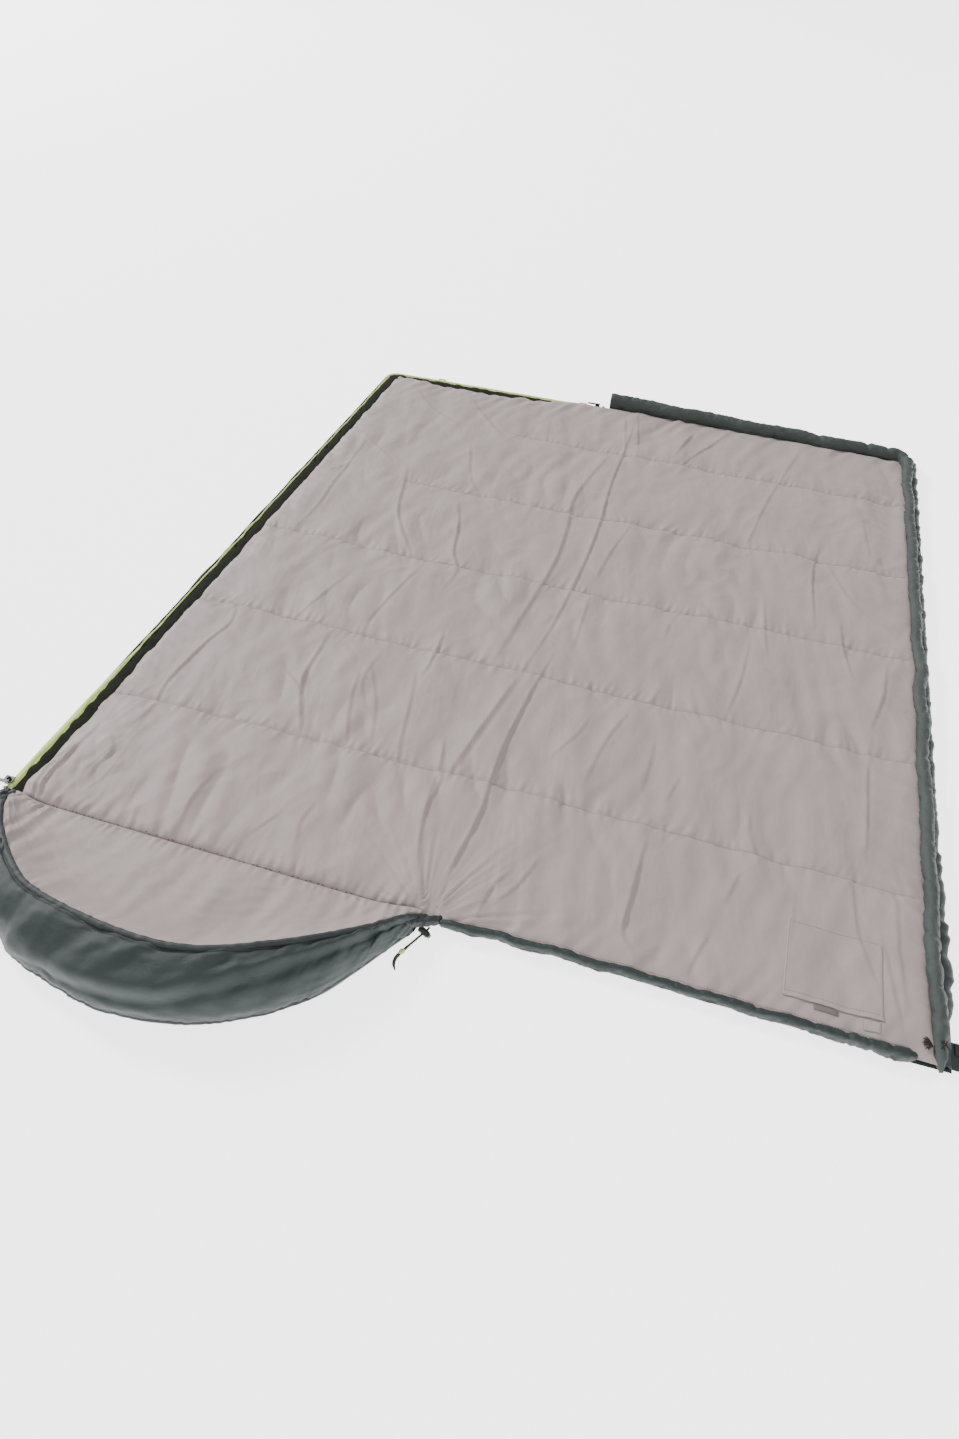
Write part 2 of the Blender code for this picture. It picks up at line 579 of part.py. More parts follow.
# the bead is a turned barrel with the cord knotted inside it
bm = bmesh.new()
bmesh.ops.create_uvsphere(bm, u_segments=14, v_segments=8, radius=0.0050)
q = Vector((0, 0, 1)).rotation_difference(U).to_matrix().to_4x4()
bmesh.ops.transform(bm, matrix=Matrix.Translation(BEAD) @ q @ Matrix.Diagonal((1.0, 1.0, 1.35, 1.0)), verts=bm.verts[:])
from_bm("drawcord_bead", bm, LIME, BEAD, 60)
T0 = BEAD + U * 0.0075
T0.z = 0.0052
tail = smooth_route([T0, P(0.0195, -0.0870, 0.0030), P(0.0190, -0.0980, 0.0019), P(0.0125, -0.1090, 0.0018)], 4)
tube("drawcord_tail", tail, CORD_R, CORD, res=2)

# cord lock: barrel, spring and plunger across the cord
AX = Vector((0.893, -0.45, 0.0)).normalized()
barrel = cylinder("cord_lock_barrel", LOCK - AX * 0.0015, AX, 0.0060, 0.0190, DARK, 20, origin=LOCK)
bore = cylinder("bore", LOCK + AX * 0.0020, AX, 0.0046, 0.0190, DARK, 20)
hole = cylinder("cord_hole", LOCK, U, 0.0024, 0.020, DARK, 14)
boolean(barrel, bore)
boolean(barrel, hole)
button = cylinder("cord_lock_button", LOCK + AX * 0.0050, AX, 0.0042, 0.0150, DARK, 20, origin=LOCK)
slot = cylinder("button_hole", LOCK, U, 0.0024, 0.020, DARK, 14)
slot2 = cylinder("button_hole_far", LOCK + AX * 0.0026, U, 0.0024, 0.020, DARK, 14)
slot3 = cylinder("button_hole_mid", LOCK + AX * 0.0013, U, 0.0024, 0.020, DARK, 14)
boolean(button, slot)
boolean(button, slot3)
boolean(button, slot2)
# the spring sits between the barrel floor and the plunger
q = Vector((0, 0, 1)).rotation_difference(AX).to_matrix()
sp_pts = []
turns, n = 2.6, 10
base = LOCK - AX * 0.0068
for k in range(int(turns * n) + 1):
    a = 2 * math.pi * k / n
    sp_pts.append(base + q @ Vector((0.0030 * math.cos(a), 0.0030 * math.sin(a), 0.0034 * k / (turns * n))))
tube("cord_lock_spring", sp_pts, 0.00030, STEEL, res=0)
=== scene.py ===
"""Camp quilt: a hooded rectangular sleeping bag opened out flat, lining side up. The looks."""
import bpy, bmesh, math
import numpy as np
from mathutils import Vector, Matrix


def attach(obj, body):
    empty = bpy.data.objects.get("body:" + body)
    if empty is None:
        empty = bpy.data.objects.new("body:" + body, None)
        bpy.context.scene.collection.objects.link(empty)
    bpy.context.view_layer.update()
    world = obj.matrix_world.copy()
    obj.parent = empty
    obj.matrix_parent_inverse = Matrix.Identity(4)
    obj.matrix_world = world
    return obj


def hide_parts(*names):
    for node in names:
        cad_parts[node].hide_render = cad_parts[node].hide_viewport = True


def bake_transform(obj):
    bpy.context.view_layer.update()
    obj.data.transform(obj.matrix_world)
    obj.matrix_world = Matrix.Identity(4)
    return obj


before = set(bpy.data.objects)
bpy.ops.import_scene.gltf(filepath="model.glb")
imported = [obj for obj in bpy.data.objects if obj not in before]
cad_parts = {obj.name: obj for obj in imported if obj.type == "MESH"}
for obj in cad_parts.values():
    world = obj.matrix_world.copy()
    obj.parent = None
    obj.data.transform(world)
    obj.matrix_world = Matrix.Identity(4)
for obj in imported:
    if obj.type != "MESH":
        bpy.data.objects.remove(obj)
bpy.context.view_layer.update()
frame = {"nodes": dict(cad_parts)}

# ------------------------------------------------------------------ facts shared with the CAD
XF, Y0 = -0.01875, -0.8545         # fold line x, hood seam y
BODY_L = 2.012
SEAM_V = (0.0, 0.157, 0.327, 0.494, 0.663, 0.846)


def W3(dx, y, z):
    """dx from the fold (left negative), y from the hood seam, height."""
    return np.array([XF + dx, Y0 + y, z])


# ------------------------------------------------------------------ camera first
CAM = np.array([XF + 0.31280785, Y0 - 0.80189628, 1.34705175])
ROT = np.array([[0.95245404, 0.30320755, 0.02994141], [0.23417903, -0.66564673, -0.70857223], [-0.19491405, 0.68189413, -0.70500277]])
FOC = 896.86
cd = bpy.data.cameras.new("camera")
cd.sensor_fit = "AUTO"
cd.sensor_width = 36.0
cd.lens = FOC * 36.0 / 1439.0
cam = bpy.data.objects.new("camera", cd)
bpy.context.scene.collection.objects.link(cam)
m = Matrix.Identity(4)
for i in range(3):
    m[i][0], m[i][1], m[i][2], m[i][3] = ROT[0][i], -ROT[1][i], -ROT[2][i], CAM[i]
cam.matrix_world = m
bpy.context.scene.camera = cam


def seen_at(u, v, z=0.030):
    """Where a line of sight through the 959 x 1439 frame meets height z: dx, y."""
    d = ROT.T @ np.array([(u - 479.5) / FOC, (v - 719.5) / FOC, 1.0])
    t = (z - CAM[2]) / d[2]
    q = CAM + t * d
    return q[0] - XF, q[1] - Y0


# ------------------------------------------------------------------ noise
def field(shape, step, wl_x, wl_y, seed, angle=0.0, band=0.45):
    """Smooth noise on a grid: wavelengths across and along, turned by angle, unit deviation."""
    rng = np.random.default_rng(seed)
    n = (shape[0] + 64, shape[1] + 64)
    f = np.fft.rfft2(rng.standard_normal(n))
    ky = np.fft.fftfreq(n[0], step[0])[:, None]
    kx = np.fft.rfftfreq(n[1], step[1])[None, :]
    c, s = math.cos(angle), math.sin(angle)
    a, b = kx * c + ky * s, -kx * s + ky * c
    r = np.sqrt((a * wl_x) ** 2 + (b * wl_y) ** 2)
    f *= np.exp(-((r - 1.0) / band) ** 2) + 0.25 * np.exp(-(r / 0.8) ** 2)
    out = np.fft.irfft2(f, s=n)[: shape[0], : shape[1]]
    return out / (out.std() + 1e-12)


def line_noise(n, step, wl, seed):
    rng = np.random.default_rng(seed)
    f = np.fft.rfft(rng.standard_normal(n + 256))
    k = np.fft.rfftfreq(n + 256, step) * wl
    f *= np.exp(-((k - 1.0) / 0.5) ** 2)
    out = np.fft.irfft(f, n=n + 256)[:n]
    return out / (out.std() + 1e-12)


def sm(t):
    t = np.clip(t, 0.0, 1.0)
    return t * t * (3 - 2 * t)


def catmull(ctrl, n):
    c = np.array(ctrl, float)
    c = np.vstack([2 * c[0] - c[1], c, 2 * c[-1] - c[-2]])
    out = []
    for i in range(1, len(c) - 2):
        p0, p1, p2, p3 = c[i - 1], c[i], c[i + 1], c[i + 2]
        for t in np.linspace(0, 1, n, endpoint=False):
            out.append(0.5 * (2 * p1 + (p2 - p0) * t + (2 * p0 - 5 * p1 + 4 * p2 - p3) * t * t + (3 * p1 - p0 - 3 * p2 + p3) * t ** 3))
    out.append(c[-2])
    return np.array(out)


def even(path, n):
    """n points evenly spaced along a path, and its length."""
    path = np.array(path, float)
    seg = np.linalg.norm(np.diff(path, axis=0), axis=1)
    s = np.concatenate([[0], np.cumsum(seg)])
    t = np.linspace(0, s[-1], n)
    return np.stack([np.interp(t, s, path[:, k]) for k in range(path.shape[1])], 1), s[-1]


# ------------------------------------------------------------------ materials
def mat(name, colour, rough=0.8, metallic=0.0, weave=0.0, pitch=0.0006, crinkle=0.0, crinkle_size=0.006, vary=0.06, sheen=0.0, use_uv=True, spec=0.5, coat=0.0, rib=None, rib_depth=0.3):
    """A woven or moulded finish: thread weave, fine crinkle, soft colour variation."""
    m = bpy.data.materials.new(name)
    m.use_nodes = True
    nt = m.node_tree
    b = nt.nodes["Principled BSDF"]
    b.inputs["Roughness"].default_value = rough
    b.inputs["Metallic"].default_value = metallic
    b.inputs["Specular IOR Level"].default_value = spec
    if sheen:
        b.inputs["Sheen Weight"].default_value = sheen
        b.inputs["Sheen Roughness"].default_value = 0.5
    if coat:
        b.inputs["Coat Weight"].default_value = coat
        b.inputs["Coat Roughness"].default_value = 0.25
    tc = nt.nodes.new("ShaderNodeTexCoord")
    src = tc.outputs["UV" if use_uv else "Object"]
    # colour: broad fading and thread-to-thread variation
    n1 = nt.nodes.new("ShaderNodeTexNoise")
    n1.inputs["Scale"].default_value = 9.0
    n1.inputs["Detail"].default_value = 3.0
    nt.links.new(src, n1.inputs["Vector"])
    ramp = nt.nodes.new("ShaderNodeValToRGB")
    c = np.array(colour)
    lo, hi = c * (1 - vary), c * (1 + vary)
    ramp.color_ramp.elements[0].position = 0.3
    ramp.color_ramp.elements[1].position = 0.7
    ramp.color_ramp.elements[0].color = (*np.clip(lo, 0, 1), 1)
    ramp.color_ramp.elements[1].color = (*np.clip(hi, 0, 1), 1)
    nt.links.new(n1.outputs["Fac"], ramp.inputs["Fac"])
    col = ramp.outputs["Color"]
    height = None

    def add(h, strength, dist):
        nonlocal height
        bump = nt.nodes.new("ShaderNodeBump")
        bump.inputs["Strength"].default_value = strength
        bump.inputs["Distance"].default_value = dist
        nt.links.new(h, bump.inputs["Height"])
        if height is not None:
            nt.links.new(height, bump.inputs["Normal"])
        height = bump.outputs["Normal"]

    if crinkle:
        n2 = nt.nodes.new("ShaderNodeTexNoise")
        n2.inputs["Scale"].default_value = 1.0 / crinkle_size / 2.2
        n2.inputs["Detail"].default_value = 4.0
        n2.inputs["Roughness"].default_value = 0.6
        n2.inputs["Distortion"].default_value = 0.6
        mp = nt.nodes.new("ShaderNodeMapping")
        mp.inputs["Scale"].default_value = (1.0, 0.55, 1.0)
        nt.links.new(src, mp.inputs["Vector"])
        nt.links.new(mp.outputs["Vector"], n2.inputs["Vector"])
        add(n2.outputs["Fac"], crinkle, crinkle_size * 0.35)
    if rib:
        w = nt.nodes.new("ShaderNodeTexWave")
        w.bands_direction = rib[0]
        w.inputs["Scale"].default_value = 1.0 / rib[1] / 1.0 / (2 * math.pi) * 20 / 20 * 6.2832 / 2
        w.inputs["Distortion"].default_value = 0.0
        nt.links.new(src, w.inputs["Vector"])
        add(w.outputs["Fac"], rib_depth, rib[1] * 0.4)
    if weave:
        outs = []
        for k, d in enumerate(("X", "Y")):
            w = nt.nodes.new("ShaderNodeTexWave")
            w.bands_direction = d
            w.inputs["Scale"].default_value = 0.5 / pitch
            w.inputs["Distortion"].default_value = 0.4
            nt.links.new(src, w.inputs["Vector"])
            outs.append(w.outputs["Fac"])
        mx = nt.nodes.new("ShaderNodeMath")
        mx.operation = "MAXIMUM"
        nt.links.new(outs[0], mx.inputs[0])
        nt.links.new(outs[1], mx.inputs[1])
        add(mx.outputs[0], weave, pitch * 0.5)
        mix = nt.nodes.new("ShaderNodeMix")
        mix.data_type = "RGBA"
        mix.blend_type = "MULTIPLY"
        mix.inputs["Factor"].default_value = 0.10
        nt.links.new(col, mix.inputs["A"])
        nt.links.new(mx.outputs[0], mix.inputs["B"])
        col = mix.outputs["Result"]
    nt.links.new(col, b.inputs["Base Color"])
    if height is not None:
        nt.links.new(height, b.inputs["Normal"])
    m.diffuse_color = (*colour, 1)
    return m


M_LIN = mat("lining_taffeta", (0.392, 0.322, 0.312), 0.62, weave=0.25, pitch=0.0007, crinkle=0.30, crinkle_size=0.010, vary=0.035, sheen=0.15)
M_HOODLIN = M_LIN
M_SHELL = mat("shell_slate", (0.023, 0.035, 0.033), 0.55, weave=0.30, pitch=0.0007, crinkle=0.40, crinkle_size=0.010, vary=0.12, sheen=0.04, spec=0.35)
# painted shade: a darker copy of the slate shell, for the rim roll and the hood corner that lie in shade under the fold
M_RIM_SHADED = mat("rim_slate_painted_shade", (0.018, 0.025, 0.025), 0.60, weave=0.30, pitch=0.0007, crinkle=0.45, crinkle_size=0.006, vary=0.12, sheen=0.05)
# partly the tube's own slate colour, partly painted light: lighter than the shell slate to stand in for fill light on
# the tube's front-facing side
M_TUBE_LIT = mat("tube_slate_painted_light", (0.052, 0.067, 0.062), 0.58, weave=0.30, pitch=0.0007, crinkle=0.65, crinkle_size=0.008, vary=0.15, sheen=0.04, spec=0.35)
M_STRIP = mat("strip_olive", (0.013, 0.0145, 0.008), 0.85, spec=0.15, weave=0.5, pitch=0.0012, crinkle=0.3, crinkle_size=0.006, vary=0.18)
M_TAPE = mat("tape_olive", (0.018, 0.021, 0.010), 0.85, spec=0.2, weave=0.5, pitch=0.0010, vary=0.15)
M_LIMETAPE = mat("tape_lime", (0.74, 0.95, 0.24), 0.70, weave=0.4, pitch=0.0010, vary=0.06)
M_LIME = mat("coil_lime", (0.80, 0.96, 0.34), 0.38, vary=0.04, use_uv=False)
M_DARKCOIL = mat("coil_dark", (0.050, 0.055, 0.050), 0.40, vary=0.08, use_uv=False)
M_DARK = mat("moulded_dark", (0.030, 0.034, 0.031), 0.42, crinkle=0.25, crinkle_size=0.0012, vary=0.12, use_uv=False)
M_METAL = mat("slider_enamel", (0.045, 0.048, 0.044), 0.34, metallic=0.85, crinkle=0.1, crinkle_size=0.002, vary=0.15, use_uv=False)
M_STEEL = mat("spring_steel", (0.56, 0.56, 0.57), 0.28, metallic=1.0, vary=0.05, use_uv=False)
M_THREAD = mat("thread_taupe", (0.30, 0.265, 0.26), 0.7, vary=0.08, use_uv=False)
# painted shadow: dark taupe for the line of shade in the groove at the hood seam
M_SEAM = mat("seam_shadow_taupe", (0.15, 0.115, 0.11), 0.9, vary=0.1, use_uv=False)
M_SEAMD = mat("thread_brown", (0.022, 0.017, 0.015), 0.9, vary=0.2, use_uv=False)
M_THREADD = mat("thread_slate", (0.045, 0.055, 0.055), 0.7, vary=0.08, use_uv=False)
M_CORD = mat("cord_olive", (0.050, 0.058, 0.022), 0.78, weave=0.8, pitch=0.0009, vary=0.25, use_uv=False)
M_BEAD = mat("bead_lime", (0.52, 0.70, 0.22), 0.35, vary=0.05, use_uv=False, coat=0.2)
M_WEB = mat("webbing_lime", (0.60, 0.78, 0.26), 0.75, weave=0.7, pitch=0.0014, vary=0.08, use_uv=False)
M_HOOK = mat("hook_tape", (0.036, 0.038, 0.040), 0.88, crinkle=0.9, crinkle_size=0.0013, vary=0.15, use_uv=False)
M_HOOKB = mat("hook_tape_taupe", (0.17, 0.145, 0.14), 0.9, crinkle=0.9, crinkle_size=0.0013, vary=0.15, use_uv=False)
M_TAB = mat("tab_slate", (0.040, 0.052, 0.054), 0.68, weave=0.5, pitch=0.0010, vary=0.08, use_uv=False)
M_FILL = mat("hollow_fibre", (0.80, 0.80, 0.78), 0.95, crinkle=0.8, crinkle_size=0.004, vary=0.04, use_uv=False)


# ------------------------------------------------------------------ mesh helpers
def grid(name, pts, material, uv=None, wrap=False, flip=False):
    """A skin over an array of points (rows, columns, 3)."""
    r, c = pts.shape[:2]
    me = bpy.data.meshes.new(name)
    cols = c if wrap else c - 1
    i, j = np.meshgrid(np.arange(r - 1), np.arange(cols), indexing="ij")
    j2 = (j + 1) % c
    q = np.stack([i * c + j, i * c + j2, (i + 1) * c + j2, (i + 1) * c + j], -1).reshape(-1, 4)
    if flip:
        q = q[:, ::-1]
    me.vertices.add(r * c)
    me.vertices.foreach_set("co", pts.reshape(-1).astype(np.float32))
    me.loops.add(q.size)
    me.loops.foreach_set("vertex_index", q.reshape(-1).astype(np.int32))
    me.polygons.add(len(q))
    me.polygons.foreach_set("loop_start", np.arange(0, q.size, 4, dtype=np.int32))
    me.polygons.foreach_set("loop_total", np.full(len(q), 4, dtype=np.int32))
    me.polygons.foreach_set("use_smooth", np.ones(len(q), dtype=bool))
    me.update(calc_edges=True)
    me.validate()
    if uv is None:
        du = np.linalg.norm(np.diff(pts, axis=1), axis=2).mean(0)
        dv = np.linalg.norm(np.diff(pts, axis=0), axis=2).mean(1)
        u = np.concatenate([[0], np.cumsum(du)])
        v = np.concatenate([[0], np.cumsum(dv)])
        uv = np.stack(np.meshgrid(u, v), -1)
    lay = me.uv_layers.new(name="cloth")
    idx = q.reshape(-1)
    lay.data.foreach_set("uv", uv.reshape(-1, 2)[idx].reshape(-1).astype(np.float32))
    ob = bpy.data.objects.new(name, me)
    bpy.context.scene.collection.objects.link(ob)
    ob.data.materials.append(material)
    return ob


def caps(ob, rows, cols, first=True, last=True):
    """Close the open ends of a wrapped skin."""
    bm = bmesh.new()
    bm.from_mesh(ob.data)
    bm.verts.ensure_lookup_table()
    for on, row in ((first, 0), (last, rows - 1)):
        if on:
            bm.verts.ensure_lookup_table()
            ring = [bm.verts[row * cols + k] for k in range(cols)]
            f = bm.faces.new(ring if row else ring[::-1])
            bmesh.ops.poke(bm, faces=[f])
    bmesh.ops.recalc_face_normals(bm, faces=bm.faces[:])
    bm.to_mesh(ob.data)
    bm.free()
    for p in ob.data.polygons:
        p.use_smooth = True
    return ob


def sweep(name, path, ring, material, closed_ends=True, up=(0, 0, 1)):
    """A section carried along a path. ring(k, s) gives (side, up) offsets in metres."""
    path = np.array(path, float)
    t = np.gradient(path, axis=0)
    t /= np.linalg.norm(t, axis=1)[:, None] + 1e-12
    upv = np.tile(np.array(up, float), (len(path), 1))
    side = np.cross(t, upv)
    side /= np.linalg.norm(side, axis=1)[:, None] + 1e-12
    upn = np.cross(side, t)
    s = np.concatenate([[0], np.cumsum(np.linalg.norm(np.diff(path, axis=0), axis=1))])
    rings = ring(s)                                   # (n, m, 2)
    pts = path[:, None, :] + side[:, None, :] * rings[..., 0:1] + upn[:, None, :] * rings[..., 1:2]
    ob = grid(name, pts, material, wrap=True)
    if closed_ends:
        caps(ob, pts.shape[0], pts.shape[1])
    return ob


def round_ring(n, rx, ry=None):
    a = np.linspace(0, 2 * np.pi, n, endpoint=False)
    ry = rx if ry is None else ry
    return np.stack([rx * np.cos(a), ry * np.sin(a)], -1)


def stitches(name, path, material, normal=(0, 0, 1), length=0.0034, gap=0.0014, r=0.00042, lift=0.0):
    """A row of sewn stitches along a path, each a little rounded thread."""
    path, L = even(path, max(2, int(len(path))))
    n = max(1, int(L / (length + gap)))
    s = np.concatenate([[0], np.cumsum(np.linalg.norm(np.diff(path, axis=0), axis=1))])
    a0 = np.arange(n) * (length + gap)
    ts = np.linspace(0, 1, 5)
    prof = np.array([0.25, 0.9, 1.0, 0.9, 0.25])
    hump = np.array([-0.5, 0.35, 0.6, 0.35, -0.5]) * r
    verts, quads = [], []
    m = 6
    nrm = np.array(normal, float)
    for k in range(n):
        p = np.stack([np.interp(a0[k] + ts * length, s, path[:, i]) for i in range(3)], 1)
        t = p[-1] - p[0]
        t /= np.linalg.norm(t) + 1e-12
        sd = np.cross(t, nrm)
        sd /= np.linalg.norm(sd) + 1e-12
        up = np.cross(sd, t)
        ang = np.linspace(0, 2 * np.pi, m, endpoint=False)
        base = len(verts) * 0 + k * 5 * m
        for i in range(5):
            c = p[i] + up * (hump[i] + lift)
            for a in ang:
                verts.append(c + (sd * math.cos(a) + up * math.sin(a)) * r * prof[i])
        for i in range(4):
            for j in range(m):
                quads.append((base + i * m + j, base + i * m + (j + 1) % m, base + (i + 1) * m + (j + 1) % m, base + (i + 1) * m + j))
        quads.append(tuple(base + j for j in range(m))[::-1])
        quads.append(tuple(base + 4 * m + j for j in range(m)))
    me = bpy.data.meshes.new(name)
    me.from_pydata([tuple(v) for v in verts], [], quads)
    me.update()
    for p in me.polygons:
        p.use_smooth = True
    ob = bpy.data.objects.new(name, me)
    bpy.context.scene.collection.objects.link(ob)
    me.materials.append(material)
    return ob


# ------------------------------------------------------------------ the lining of both halves
STEP = 0.0033
LX0, LX1 = -0.8225, 0.828
LY0, LY1 = 0.0, 1.966
nx, ny = int((LX1 - LX0) / STEP), int((LY1 - LY0) / STEP)
gx = np.linspace(LX0, LX1, nx)
gy = np.linspace(LY0, LY1, ny)
DX, YY = np.meshgrid(gx, gy)
sx, sy = gx[1] - gx[0], gy[1] - gy[0]

# creases as seen in the 959 x 1439 frame, traced: points, height mm, half width mm
CREASES = [
    ([(96, 722), (82, 738), (66, 755), (52, 768), (40, 785), (33, 800)], 5.0, 9),
    ([(66, 750), (50, 762), (41, 776), (28, 792)], 4.6, 7),
    ([(62, 752), (56, 764), (46, 778), (36, 797)], 4.0, 5),
    ([(44, 772), (33, 786), (24, 797)], 5.0, 6),
    ([(436, 905), (452, 865), (480, 810), (488, 785), (510, 730), (542, 670), (552, 655)], 5.0, 8),
    ([(525, 665), (545, 635), (570, 590), (595, 535), (612, 480), (630, 435), (637, 415)], 4.5, 8),
    ([(445, 775), (468, 745), (500, 700), (520, 672)], 5.5, 14),
    ([(500, 650), (530, 600), (555, 560), (567, 525), (575, 495), (607, 455)], 4.5, 12),
    ([(425, 905), (420, 880), (418, 850), (425, 810), (440, 775), (443, 740)], 4.0, 8),
    ([(423, 815), (430, 790), (440, 760), (445, 735)], 3.0, 7),
    ([(573, 645), (583, 615), (590, 595)], 3.0, 8),
    ([(595, 578), (608, 555), (630, 525)], 3.0, 9),
    ([(625, 415), (625, 450)], 3.0, 9),
    ([(300, 730), (300, 690), (305, 670), (320, 645), (328, 630)], 4.5, 9),
    ([(285, 667), (300, 690)], 3.0, 8),
    ([(425, 670), (435, 650), (443, 632)], 4.5, 8),
    ([(450, 580), (457, 565), (453, 550), (458, 525), (458, 500)], 4.5, 9),
    ([(410, 550), (400, 525), (398, 505), (405, 475), (406, 464)], 4.5, 10),
    ([(368, 437), (340, 470), (320, 500), (300, 520)], 3.5, 10),
    ([(368, 437), (390, 457)], 3.0, 10),
    ([(415, 388), (430, 405), (460, 425)], 4.5, 12),
    ([(472, 400), (500, 432), (512, 438)], 4.5, 12),
    ([(360, 635), (370, 615), (395, 590), (425, 560)], 3.0, 10),
    ([(290, 615), (320, 595), (350, 570)], 2.5, 10),
    ([(235, 595), (230, 620), (200, 645), (165, 680), (150, 705), (135, 720)], 4.0, 9),
    ([(345, 745), (350, 700), (360, 670)], 3.0, 9),
    ([(395, 775), (400, 740), (410, 700), (415, 670)], 3.0, 9),
    ([(365, 710), (362, 680), (380, 650)], 2.5, 10),
    ([(470, 445), (470, 475), (478, 490)], 3.5, 10),
    ([(175, 830), (190, 800), (215, 770)], 2.5, 9),
    ([(295, 842), (300, 820), (315, 800)], 2.5, 9),
    ([(250, 830), (280, 810)], 2.0, 8),
    ([(110, 735), (112, 750), (95, 765), (85, 780)], 3.0, 9),
    ([(370, 660), (375, 700), (370, 740)], 2.5, 9),
    ([(725, 715), (740, 680), (750, 640)], 3.5, 8),
    ([(820, 545), (812, 575), (815, 625)], 4.0, 8),
    ([(765, 595), (765, 630), (768, 655)], 3.5, 7),
    ([(840, 620), (845, 650), (852, 680)], 4.0, 8),
    ([(825, 555), (850, 600), (890, 630)], 3.5, 12),
    ([(870, 730), (882, 695), (888, 660)], 4.0, 9),
    ([(872, 735), (868, 775), (865, 865)], 4.0, 8),
    ([(645, 840), (632, 890), (622, 930), (632, 950)], 4.5, 9),
    ([(585, 780), (605, 740), (630, 710)], 3.0, 9),
    ([(750, 810), (750, 830)], 2.5, 7),
    ([(665, 820), (662, 840)], 2.5, 7),
    ([(740, 870), (725, 900)], 3.0, 9),
    ([(710, 930), (695, 955), (685, 975)], 3.5, 9),
    ([(540, 855), (520, 880), (495, 900)], 3.0, 8),
    ([(475, 915), (492, 885), (515, 865)], 3.0, 7),
    ([(680, 775), (665, 800)], 2.5, 9),
    ([(800, 450), (770, 495), (750, 535), (735, 555)], 3.0, 10),
    ([(695, 430), (675, 455)], 4.0, 10),
    ([(730, 432), (685, 460)], 3.5, 9),
    ([(637, 415), (638, 450)], 3.0, 8),
    ([(862, 520), (870, 560)], 2.5, 9),
    ([(550, 755), (575, 735), (590, 715)], 2.5, 9),
    ([(670, 620), (665, 635)], 2.5, 8),
    ([(640, 790), (650, 760), (655, 735)], 2.5, 10),
    ([(790, 940), (795, 900)], 2.0, 8),
    ([(852, 860), (858, 930), (880, 990)], 3.0, 9),
    ([(895, 880), (897, 940), (905, 1010)], 3.5, 9),
    ([(880, 930), (890, 980), (900, 1030)], 3.0, 8),
]


def add_creases(Z, X, Y, lines, to=None):
    for k, (line, amp, w) in enumerate(lines):
        if amp >= 4.5:
            amp, w = amp * 1.15, w * 1.10
        p = np.array([to(*q) for q in line]) if to else np.array(line, float)
        p = catmull(p, 6)
        w, amp = w * 1e-3 * 0.72, amp * 1e-3 * 0.98
        lo, hi = p.min(0) - 5 * w, p.max(0) + 5 * w
        sel = (X > lo[0]) & (X < hi[0]) & (Y > lo[1]) & (Y < hi[1])
        if not sel.any():
            continue
        P2 = np.stack([X[sel], Y[sel]], 1)
        seg = np.linalg.norm(np.diff(p, axis=0), axis=1)
        cum = np.concatenate([[0], np.cumsum(seg)])
        best = np.full(len(P2), 1e9)
        sgn = np.zeros(len(P2))
        along = np.zeros(len(P2))
        for i in range(len(p) - 1):
            a, b = p[i], p[i + 1]
            d = b - a
            L2 = (d @ d) + 1e-12
            t = np.clip(((P2 - a) @ d) / L2, 0, 1)
            q = a + t[:, None] * d
            off = P2 - q
            dist = np.linalg.norm(off, axis=1)
            m2 = dist < best
            best = np.where(m2, dist, best)
            sgn = np.where(m2, np.sign(d[0] * off[:, 1] - d[1] * off[:, 0]), sgn)
            along = np.where(m2, (cum[i] + t * seg[i]) / cum[-1], along)
        s = best * sgn
        # running up the frame, the left flank is the lit one: ridge on the left, groove on the right
        d0 = p[-1] - p[0]
        if d0[1] < 0:
            s = -s
        taper = np.sqrt(np.clip(np.sin(np.pi * np.clip(along, 0.02, 0.98)), 0, 1))
        q = np.sqrt(s * s + (0.14 * w) ** 2)
        ridge = np.where(s > 0, np.exp(-q / (1.7 * w)), np.exp(-q / (0.50 * w))) - 0.30 * np.exp(-((s + 1.0 * w) / (0.6 * w)) ** 2)
        Z[sel] += amp * taper * ridge
    return Z


def seam_y(v, dx, k):
    """A quilting seam wanders a little across the cloth."""
    return v * BODY_L + 0.0035 * np.sin(dx * 3.1 + k * 1.7) + 0.0015 * np.sin(dx * 11.0 + k)


def seam_seen(k, dx):
    """The two seams nearest the foot sink out of sight in the left half."""
    if k == 5:
        return np.interp(dx, [-0.42, -0.22], [0.12, 1.0])
    if k == 4:
        return np.interp(dx, [-0.62, -0.34], [0.30, 1.0])
    return np.ones_like(np.asarray(dx, float))


